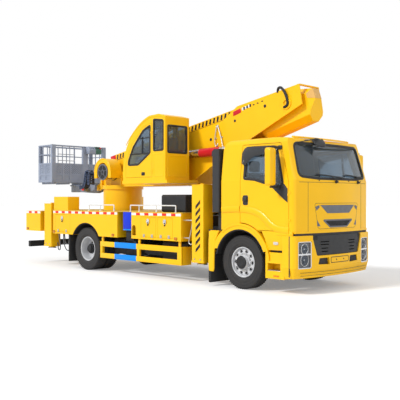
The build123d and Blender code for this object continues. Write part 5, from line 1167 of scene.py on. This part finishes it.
class TRUCK_OT_operator_cab(bpy.types.Operator):
    """Make the operator cab's seals, glazing bars, handle, wiper, pressings, lamps and control sticks"""
    bl_idname = "truck.operator_cab"
    bl_label = "Operator's cab"

    def execute(self, context):
        fixed, moving, panels, lamps, sticks = shapes(5)
        door_window = [(-0.17, 2.51), (0.17, 2.51), (0.58, 2.76), (0.58, 3.36), (0.34, 3.26), (0, 2.91), (-0.17, 2.6)]
        side_pane = [(0.7, 2.8), (1.01, 2.8), (1.01, 3.44), (0.7, 3.48)]
        end_pane = [(-1.195, 2.75), (-0.635, 2.75), (-0.635, 3.33), (-1.195, 3.33)]
        outer, inner, end = -1.2695, -0.5605, 1.0795
        seal(fixed, side_pane, lambda path: beside(path, outer), (0, -1, 0))
        seal(fixed, side_pane, lambda path: beside(path, inner), (0, 1, 0))
        seal(fixed, door_window, lambda path: beside(path, inner), (0, 1, 0))
        seal(fixed, end_pane, lambda path: upright(path, end), (1, 0, 0))
        # rubber edge round the bowed screen at the tail side
        front = [(-0.372, 2.53), (-0.355, 2.66), (-0.31, 2.83), (-0.235, 2.97), (-0.14, 3.085), (-0.02, 3.2),
                 (0.12, 3.3), (0.25, 3.365)]
        for y in (-1.21, -0.62):
            add_strip(fixed, beside(front, y), (-0.75, 0, 0.6), 0.035, 0.012, closed=False)
        for x, z, normal in ((-0.374, 2.53, (-1, 0, 0)), (0.262, 3.37, (-0.45, 0, 0.9))):
            add_strip(fixed, [(x, -1.21 + 0.59 * k / 6, z) for k in range(7)], normal, 0.035, 0.012, closed=False)
        # wiper on the screen
        add_turned(fixed, [(0.02, 0), (0.02, 0.02), (0.012, 0.026)], (-0.375, -0.9, 2.5), (-1, 0, 0), 16)
        add_rod(fixed, (-0.392, -0.9, 2.5), (-0.345, -0.86, 2.84), 0.007, 8)
        add_rod(fixed, (-0.37, -0.85, 2.65), (-0.17, -0.87, 3.08), 0.008, 8)
        piece("operator_cab_seals", fixed, "rubber_black", "turret")

        # glazing bars of the door, and its handle with its plate
        seal(moving, door_window, lambda path: beside(path, outer), (0, -1, 0))
        for low, high, edge, steps in (((-0.13, -1.274, 2.735), (0.585, -1.262, 2.765), 0.003, 2),
                                       ((0.3, -1.274, 2.75), (0.33, -1.262, 3.13), 0.003, 2),
                                       ((0.15, -1.274, 3.08), (0.585, -1.262, 3.108), 0.003, 2),
                                       ((0.29, -1.279, 2.265), (0.405, -1.266, 2.337), 0.006, 2),
                                       ((0.305, -1.292, 2.285), (0.39, -1.279, 2.315), 0.008, 3)):
            add_box(moving, low, high, edge, steps)
        piece("operator_door_trim", moving, "rubber_black", "operator_door")

        end_panel = [(-1.19, 2.235), (-0.64, 2.235), (-0.64, 2.68), (-1.19, 2.68)]
        side_panel = [(0.7, 2.24), (1.02, 2.24), (1.02, 2.73), (0.7, 2.73)]
        seal(panels, end_panel, lambda path: upright(path, end + 0.0003), (1, 0, 0), 0.026, 0.03, 0.1, 0.007)
        seal(panels, side_panel, lambda path: beside(path, outer - 0.0003), (0, -1, 0), 0.024, 0.03, 0.1, 0.005)
        gutter = [(-0.25, 2.97), (-0.13, 3.11), (0.02, 3.25), (0.2, 3.37), (0.4, 3.48), (0.56, 3.535), (0.86, 3.55),
                  (1.06, 3.5)]
        for y, out in ((-1.27, -1), (-0.56, 1)):
            add_strip(panels, beside(gutter, y), (0, out, 0), 0.02, 0.009, closed=False)
        piece("operator_cab_pressings", panels, "body_yellow", "turret")
        for y in (-1.15, -0.68):
            add_turned(lamps, [(0.02, -0.05), (0.045, -0.04), (0.06, -0.01), (0.062, 0.0), (0.056, 0.006)],
                       (-0.372, y, 2.41), (-1, 0, 0))
        piece("work_lamps", lamps, "chrome", "turret")
        for y in (-1.185, -0.645):
            add_turned(sticks, [(0.04, -0.004), (0.04, 0.006), (0.03, 0.016), (0.024, 0.03), (0.014, 0.045),
                                (0.008, 0.05)], (0.27, y, 2.87), (0, 0, 1), 20)
            add_rod(sticks, (0.27, y, 2.91), (0.258, y, 2.97), 0.007, 10)
            add_turned(sticks, [(0.012, 0), (0.019, 0.01), (0.02, 0.05), (0.016, 0.085), (0.006, 0.095)],
                       (0.259, y, 2.96), (-0.1, 0, 1), 16)
        piece("control_sticks", sticks, "interior_dark", "turret")
        return {"FINISHED"}


class TRUCK_OT_hose_reel(bpy.types.Operator):
    """Make the wound hose, the reel's flanges and hub, the guard's edge and the motor's caps"""
    bl_idname = "truck.hose_reel"
    bl_label = "Hose reel"

    def execute(self, context):
        wound, flanges, hub, edge, ends = shapes(5)
        x, z = -1.95, 2.42
        for layer, radius in enumerate((0.122, 0.143)):
            ring = [(radius + 0.0115 * cos(a), 0.0115 * sin(a)) for a in angles(8)]
            for k in range(11 - layer):
                add_turned(wound, ring, (x, -0.6135 + (k + layer * 0.5) * 0.0235, z), (0, 1, 0), 36, loop=True)
        piece("wound_hose", wound, "rubber_black", "turret")
        add_turned(flanges, [(0.0, 0), (0.202, 0), (0.205, 0.004), (0.205, 0.012), (0.0, 0.012)], (x, -0.345, z),
                   (0, 1, 0), 48)
        add_turned(flanges, [(0.0, 0), (0.2, 0), (0.2, 0.006), (0.0, 0.006)], (x, -0.6755, z), (0, 1, 0), 48)
        for inner, outer in ((0.172, 0.206), (0.03, 0.062)):
            add_turned(hub, [(inner, 0), (outer - 0.003, 0), (outer, 0.004), (outer, 0.012), (inner, 0.012)],
                       (x, -0.6815, z), (0, 1, 0), 48, loop=True)
        spokes = angles(5, 0.25)
        for first, last in zip(circle((x, -0.676, z), 0.055, spokes), circle((x, -0.676, z), 0.178, spokes)):
            add_rod(hub, first, last, 0.0075, 10)
        piece("reel_hub", hub, "plastic_grey", "turret")
        back = circle((x, -0.336, z), 0.318, [pi * k / 24 for k in range(25)])
        add_prism(flanges, back + [(x - 0.318, -0.336, 2.275), (x + 0.318, -0.336, 2.275)], (0, -0.006, 0))
        add_turned(flanges, [(0.05, 0), (0.05, 0.02), (0.03, 0.026)], (x, -0.66, z), (0, -1, 0))
        piece("reel_flanges", flanges, "structure_black", "turret")
        arc = circle((x, -0.6805, z), 0.335, [radians(v) for v in range(8, 184, 7)], 0.33)
        add_strip(edge, arc, (0, -1, 0), 0.03, 0.008, closed=False)
        piece("reel_guard_edge", edge, "body_yellow", "turret")
        for y, out in ((-0.255, -1), (0.255, 1)):
            add_turned(ends, [(0.02, 0), (0.066, 0.0), (0.072, 0.004), (0.072, 0.016), (0.05, 0.02), (0.02, 0.02)],
                       (-3.39, y, 2.04), (0, out, 0), 32, loop=True)
            add_turned(ends, [(0.03, -0.002), (0.03, 0.012), (0.02, 0.018)], (-3.39, y, 2.04), (0, out, 0))
        piece("motor_caps", ends, "tape_red", "basket_mount")
        return {"FINISHED"}


class TRUCK_OT_platform(bpy.types.Operator):
    """Make the platform's control box, the painted shade of its panels' holes, tread, gate bars and energy chain"""
    bl_idname = "truck.platform"
    bl_label = "Platform"

    def execute(self, context):
        box, grey, knobs, reds, hole, bar, gate, link_part = shapes(8)
        end = [(-3.918, 3.006), (-3.726, 3.006), (-3.716, 3.12), (-3.796, 3.219), (-3.918, 3.219)]
        add_prism(box, beside(end, 0.405), (0, 0.209, 0), 0.016, 3)
        add_prism(grey, beside(end, 0.201), (0, 0.206, 0), 0.03, 4)
        piece("control_box", box, "control_green", "basket")
        piece("control_box_end", grey, "basket_grey", "basket")
        slant = Vector((0.099, 0, 0.08)).normalized()
        lever = [(0.016, -0.002), (0.016, 0.008), (0.009, 0.014), (0.006, 0.03), (0.011, 0.04), (0.011, 0.055),
                 (0.005, 0.06)]
        knob = [(0.012, -0.002), (0.012, 0.008), (0.008, 0.011)]
        desk_x, desk_z = -3.757, 3.172
        for profile, y in ((lever, 0.43), (lever, 0.48), (lever, 0.53), (knob, 0.24), (knob, 0.3), (knob, 0.35)):
            add_turned(knobs, profile, (desk_x, y, desk_z), slant, 14)
        add_turned(reds, [(0.014, -0.002), (0.014, 0.01), (0.026, 0.012), (0.026, 0.022), (0.012, 0.028)],
                   (desk_x, 0.58, desk_z), slant, 20)
        piece("control_knobs", knobs, "plastic_black", "basket")
        piece("stop_button", reds, "control_red", "basket")

        # painted shade: dark discs stand in for the holes in the end panels between their posts, and in the side panels
        holes = []
        rise, front_face, rear_face, side_face = 0.026, -3.932, -4.588, 0.888
        panels = ((-0.75, -0.585), (-0.495, -0.345), (-0.255, 0.065), (0.135, 0.375), (0.465, 0.75))
        for row in range(9):
            z = 2.455 + row * rise
            for y in (-0.76 + column * 0.06 + (0.03 if row % 2 else 0) for column in range(26)):
                if any(low < y < high for low, high in panels):
                    holes += [((front_face, y, z), (1, 0, 0), (0, 1, 0)), ((rear_face, y, z), (-1, 0, 0), (0, 1, 0))]
            for x in (-4.48 + column * 0.05 + (0.025 if row % 2 else 0) for column in range(10)):
                if -4.48 < x < -4.3 or -4.22 < x < -4.04:
                    holes += [((x, out * side_face, z), (0, out, 0), (1, 0, 0)) for out in both]
        add_turned(hole, [(0.0085, -0.001), (0.0085, 0.0006)], (0, 0, 0), (0, 0, 1), 8)
        spread("panel_piercings", hole, holes, "structure_black", "basket", "plastic_black")
        bars = [((-4.55 + row * 0.045, -0.86 + column * 0.044, 2.2355), (0, 0, 1),
                 (1, 1 if (row + column) % 2 else -1, 0)) for row in range(14) for column in range(40)]
        add_loft(bar, [[(-x, 0, z), (0, -y, z), (x, 0, z), (0, y, z)] for x, y, z in ((0.017, 0.005, -0.001),
                                                                                     (0.011, 0.003, 0.002))])
        spread("platform_tread", bar, bars, "zinc", "basket", "basket_grey")
        for z in (2.84, 3.02):
            add_rod(gate, (-4.578, -0.25, z), (-4.578, 0.25, z), 0.011)
            for y, out in ((-0.262, -1), (0.262, 1)):
                add_turned(gate, [(0.017, 0), (0.017, 0.02), (0.012, 0.024)], (-4.578, y, z), (0, out, 0), 14)
        piece("gate_bars", gate, "zinc", "basket")

        chain = []
        line = [Vector((x, -0.35, z)) for x, z in (
            (-2.9, 2.16), (-2.9, 2.36), (-2.94, 2.46), (-3.01, 2.45), (-3.05, 2.34), (-3.068, 2.2), (-3.11, 2.1),
            (-3.19, 2.06), (-3.275, 2.055))]
        lengths = [(b - a).length for a, b in zip(line, line[1:])]
        count = int(sum(lengths) / 0.062)
        for k in range(count + 1):
            want = sum(lengths) * k / count
            for a, b, size in zip(line, line[1:], lengths):
                if want <= size + 1e-6:
                    ahead = (b - a).normalized()
                    chain.append((a.lerp(b, want / size), Vector((0, -1, 0)).cross(ahead), ahead))
                    break
                want -= size
        for y in (-0.083, 0.067):
            add_prism(link_part, beside(oblong(-0.044, 0.044, -0.052, 0.052, 0.036, 3), y), (0, 0.016, 0))
        for z in (-0.042, 0.042):
            add_box(link_part, (-0.02, -0.075, z - 0.005), (0.02, 0.075, z + 0.005), 0)
        spread("energy_chain", link_part, chain, "chain_blue", "basket_mount")
        return {"FINISHED"}


# The insides of both cabs
def cushion(name, low, high, body, swell=0.018, grid=0.011):
    """A cushion blown up from a block a little smaller than it."""
    block = bmesh.new()
    add_box(block, low, high, 0.022, 3)
    holder = link(name + "_block", as_mesh(block, name))
    remesh = holder.modifiers.new("grid", "REMESH")
    remesh.mode = "VOXEL"
    remesh.voxel_size = grid
    start = settled(holder)
    holder.modifiers.remove(remesh)
    holder.data = start
    cloth = holder.modifiers.new("cloth", "CLOTH")
    for key, value in (("quality", 5), ("mass", 0.3), ("tension_stiffness", 12), ("compression_stiffness", 12),
                       ("bending_stiffness", 0.4), ("use_pressure", True), ("uniform_pressure_force", 4)):
        setattr(cloth.settings, key, value)
    cloth.settings.effector_weights.gravity = 0
    cloth.collision_settings.use_collision = False
    cloth.point_cache.frame_start, cloth.point_cache.frame_end = 1, 20
    for step in range(1, 21):
        bpy.context.scene.frame_set(step)
    blown = bpy.data.meshes.new_from_object(holder.evaluated_get(bpy.context.evaluated_depsgraph_get()))
    holder.modifiers.remove(cloth)
    if len(blown.vertices) != len(start.vertices):
        raise RuntimeError(f"{name} changed its vertices while it was blown up")
    for before, after in zip(start.vertices, blown.vertices):
        move = after.co - before.co
        if move.length > swell:
            move *= swell / move.length
        before.co = before.co + move
    bpy.context.scene.frame_set(1)
    bpy.data.objects.remove(holder)
    made = finish_piece(name, start, "seat_cloth", body, 180)
    smooth = made.modifiers.new("smooth", "SUBSURF")
    smooth.levels = smooth.render_levels = 1


def piping(shape, low, high, inset=0.02, radius=0.005):
    """The sewn edge round a cushion's broad face, as a closed round bead."""
    (x0, y0, z0), (x1, y1, z1) = low, high
    if z1 - z0 < x1 - x0:
        path, normal = [Vector((x, y, z1 - inset)) for x, y in oblong(x0, x1, y0, y1, 0.05)], (0, 0, 1)
    else:
        path, normal = [Vector((x1 - inset, y, z)) for y, z in oblong(y0, y1, z0, z1, 0.05)], (1, 0, 0)
    add_strip(shape, divided(path, 0.05), normal, radius * 2.4, radius * 1.6, sink=radius * 1.2)


class TRUCK_OT_driver_place(bpy.types.Operator):
    """Make the driver's cab inside: seats, belts, dashboard, steering wheel and engine cover"""
    bl_idname = "truck.driver_place"
    bl_label = "Driver's place"

    def execute(self, context):
        inside, wheel, dials, seams, belts = shapes(5)
        board = [(3.79, 1.205), (3.79, 1.56), (3.755, 1.84), (3.78, 1.96), (3.86, 2.02), (4.02, 2.05), (4.26, 2.04),
                 (4.34, 1.99), (4.36, 1.7), (4.36, 1.205)]
        hood = [(3.74, 1.93), (3.735, 2.05), (3.78, 2.1), (3.9, 2.115), (4.02, 2.07), (4.02, 1.93)]
        add_prism(inside, beside(board, -1.08), (0, 2.16, 0), 0.02, 3)
        add_prism(inside, beside(hood, 0.36), (0, 0.42, 0), 0.02, 3)
        add_box(inside, (3.65, -0.25, 1.205), (4.13, 0.25, 1.425), 0.04, 4)
        for y in (-seat_y, seat_y):
            add_box(inside, (3.18, y - 0.2, 1.205), (3.58, y + 0.2, 1.54), 0.03, 3)
            for across in (-0.215, 0.215):
                add_box(inside, (3.14, y + across - 0.012, 1.5), (3.62, y + across + 0.012, 1.57), 0.008)
            for across in (-0.045, 0.045):
                add_rod(inside, (2.985, y + across, 2.2), (2.98, y + across, 2.34), 0.008, 10)
        piece("cab_fittings", inside, "interior_dark", replaces=("cab_interior",))
        centre, facing_back = Vector((3.66, seat_y, 2.03)), Vector((-0.62, 0, 0.78)).normalized()
        add_turned(wheel, [(0.205 + 0.0145 * cos(a), 0.0145 * sin(a)) for a in angles(12)], centre, facing_back, 48,
                   loop=True)
        add_turned(wheel, [(0.05, -0.045), (0.062, -0.03), (0.062, -0.012), (0.045, -0.002), (0.0, 0.0)], centre,
                   facing_back, 28)
        spot = facing(centre, facing_back)
        for a in (pi * 0.5, pi * 1.17, pi * 1.83):
            add_rod(wheel, spot @ Vector((0.05 * cos(a), 0.05 * sin(a), -0.018)),
                    spot @ Vector((0.2 * cos(a), 0.2 * sin(a), -0.002)), 0.011, 10)
        add_rod(wheel, centre - facing_back * 0.04, centre - facing_back * 0.3, 0.03, 16)
        for out in both:
            add_rod(wheel, centre - facing_back * 0.09, centre + Vector((0.05, out * 0.17, -0.06)), 0.006, 8)
        piece("steering_wheel", wheel, "interior_dark")
        for y in (0.47, 0.58, 0.69):
            add_turned(dials, [(0.046, -0.002), (0.046, 0.004), (0.04, 0.004), (0.038, 0.001)], (3.738, y, 2.0),
                       (-1, 0, 0.1), 28)
        piece("instrument_rings", dials, "chrome")
        for side, out in sides:
            y = out * seat_y
            for part, low, high in (("cushion", (3.135, y - 0.245, 1.56), (3.645, y + 0.245, 1.695)),
                                    ("back", (2.955, y - 0.24, 1.7), (3.1, y + 0.24, 2.25)),
                                    ("headrest", (2.925, y - 0.13, 2.29), (3.02, y + 0.13, 2.5))):
                cushion(f"driver_{part}_{side}", low, high, "chassis", swell=context.scene.truck_sizes.swell)
                piping(seams, low, high)
        piece("driver_piping", seams, "rubber_black")
        for out in both:
            y = out * (seat_y + 0.3)
            path = [(2.93, y, 2.45), (2.95, y + out * 0.01, 2.2), (2.96, y + out * 0.01, 1.8), (3.0, y, 1.5)]
            add_strip(belts, path, (1, 0, 0), 0.046, 0.0025, closed=False)
            add_box(belts, (2.9, y - 0.03, 2.43), (2.94, y + 0.03, 2.49), 0.008)
        piece("seat_belts", belts, "rubber_black")
        return {"FINISHED"}


class TRUCK_OT_operator_place(bpy.types.Operator):
    """Make the operator's cab inside: seat, arm rests and pedal box"""
    bl_idname = "truck.operator_place"
    bl_label = "Operator's place"

    def execute(self, context):
        inside, seams = shapes(2)
        pedal = [(-0.16, 2.3), (-0.02, 2.325), (-0.018, 2.337), (-0.165, 2.316)]
        for y in (-1.02, -0.89):
            add_prism(inside, beside(pedal, y), (0, 0.08, 0), 0.003)
        for y in (-1.185, -0.645):
            add_box(inside, (0.34, y - 0.022, 2.192), (0.47, y + 0.022, 2.74), 0.012, 3)
            add_box(inside, (0.205, y - 0.035, 2.74), (0.46, y + 0.035, 2.865), 0.02, 3)
        add_box(inside, (-0.25, -1.035, 2.192), (-0.06, -0.795, 2.3), 0.015, 3)
        add_box(inside, (0.36, -1.09, 2.192), (0.74, -0.74, 2.46), 0.03, 3)
        add_box(inside, (0.32, -1.12, 2.455), (0.8, -0.71, 2.482), 0.008)
        piece("operator_fittings", inside, "interior_dark", "turret", replaces=("operator_interior",))
        swell = context.scene.truck_sizes.swell
        for part, low, high, face_x in (("cushion", (0.305, -1.135, 2.485), (0.785, -0.695, 2.615), 0.785),
                                        ("back", (0.785, -1.13, 2.62), (0.915, -0.7, 3.1), 0.805)):
            cushion(f"operator_{part}", low, high, "turret", swell)
            piping(seams, low, (face_x, high[1], high[2]))
        for side, y in (("right", -1.185), ("left", -0.645)):
            cushion(f"operator_arm_pad_{side}", (0.33, y - 0.027, 2.868), (0.6, y + 0.027, 2.9), "turret",
                    swell / 3, 0.006)
        piece("operator_piping", seams, "rubber_black", "turret")
        return {"FINISHED"}


class TRUCK_OT_stage(bpy.types.Operator):
    """Set up the floor, the light and the camera"""
    bl_idname = "truck.stage"
    bl_label = "Stage"

    def execute(self, context):
        scene = context.scene
        scene.view_settings.view_transform = "Standard"
        mesh = bpy.data.meshes.new("floor")
        reach = 120
        mesh.from_pydata([(-reach, -reach, 0), (reach, -reach, 0), (reach, reach, 0), (-reach, reach, 0)], [],
                         [(0, 1, 2, 3)])
        floor = link("floor", mesh)
        material, tree, shader = plain("floor_pale")
        lift = add_node(tree, "Math", operation="MULTIPLY", _0=add_node(tree, "LightPath", "Is Camera Ray"), _1=0.22)
        feed(tree, shader, Base_Color=(0.86, 0.86, 0.86, 1), Roughness=0.9, Specular_IOR_Level=0.1,
             Emission_Color=(1, 1, 1, 1), Emission_Strength=lift)
        mesh.materials.append(material)

        # the background is brighter where it is seen straight, through glass or in a mirror
        scene.world = bpy.data.worlds.new("studio")
        scene.world.use_nodes = True
        tree = scene.world.node_tree
        seen = add_node(tree, "LightPath", "Is Camera Ray")
        for ray in ("Is Transmission Ray", "Is Glossy Ray"):
            seen = add_node(tree, "Math", operation="MAXIMUM", _0=seen, _1=add_node(tree, "LightPath", ray))
        level = add_node(tree, "MapRange", Value=seen, To_Min=0.5, To_Max=1.0)
        feed(tree, tree.nodes["Background"], Color=(1, 1, 1, 1), Strength=level)

        for name, strength, turn, softness in (("key", 2.3, (52, 0, -14), 10), ("fill", 0.8, (64, 0, 84), 50)):
            lamp = bpy.data.lights.new(name, "SUN")
            lamp.energy = strength
            lamp.angle = radians(softness)
            link(name, lamp).rotation_euler = tuple(radians(a) for a in turn)

        lens = bpy.data.cameras.new("camera")
        lens.sensor_width = 36
        lens.lens = 60.75
        lens.clip_start, lens.clip_end = 0.5, 400
        camera = link("camera", lens)
        camera.location = (11.862, -10.942, 1.749)
        turn, tilt = radians(45.16), radians(-0.11)
        ahead = Vector((-sin(turn) * cos(tilt), cos(turn) * cos(tilt), sin(tilt)))
        camera.rotation_mode = "QUATERNION"
        camera.rotation_quaternion = ahead.to_track_quat("-Z", "Y")
        scene.camera = camera
        return {"FINISHED"}


class TRUCK_PT_panel(bpy.types.Panel):
    bl_label = "Boom platform truck"
    bl_idname = "TRUCK_PT_panel"
    bl_space_type = "VIEW_3D"
    bl_region_type = "UI"
    bl_category = "Truck"

    def draw(self, context):
        layout = self.layout
        for group in (context.scene.truck_sizes, context.scene.truck_colours):
            for key in group.__annotations__:
                layout.prop(group, key)
        for operator in operators:
            layout.operator(operator.bl_idname)


operators = (TRUCK_OT_finishes, TRUCK_OT_wheels, TRUCK_OT_cab_seals, TRUCK_OT_door_trim, TRUCK_OT_cab_front,
             TRUCK_OT_lamps, TRUCK_OT_guards, TRUCK_OT_wheel_arches, TRUCK_OT_locker_trim, TRUCK_OT_outriggers,
             TRUCK_OT_boom_trim, TRUCK_OT_operator_cab, TRUCK_OT_hose_reel, TRUCK_OT_platform,
             TRUCK_OT_driver_place, TRUCK_OT_operator_place, TRUCK_OT_stage)
groups = (TruckColours, TruckSizes)


def register():
    for made in groups + operators + (TRUCK_PT_panel,):
        bpy.utils.register_class(made)
    bpy.types.Scene.truck_colours = PointerProperty(type=TruckColours)
    bpy.types.Scene.truck_sizes = PointerProperty(type=TruckSizes)


def unregister():
    del bpy.types.Scene.truck_colours
    del bpy.types.Scene.truck_sizes
    for made in reversed(groups + operators + (TRUCK_PT_panel,)):
        bpy.utils.unregister_class(made)


def main():
    """Makes every piece."""
    register()
    for operator in operators:
        area, name = operator.bl_idname.split(".")
        getattr(getattr(bpy.ops, area), name)()


if __name__ == "__main__":
    main()
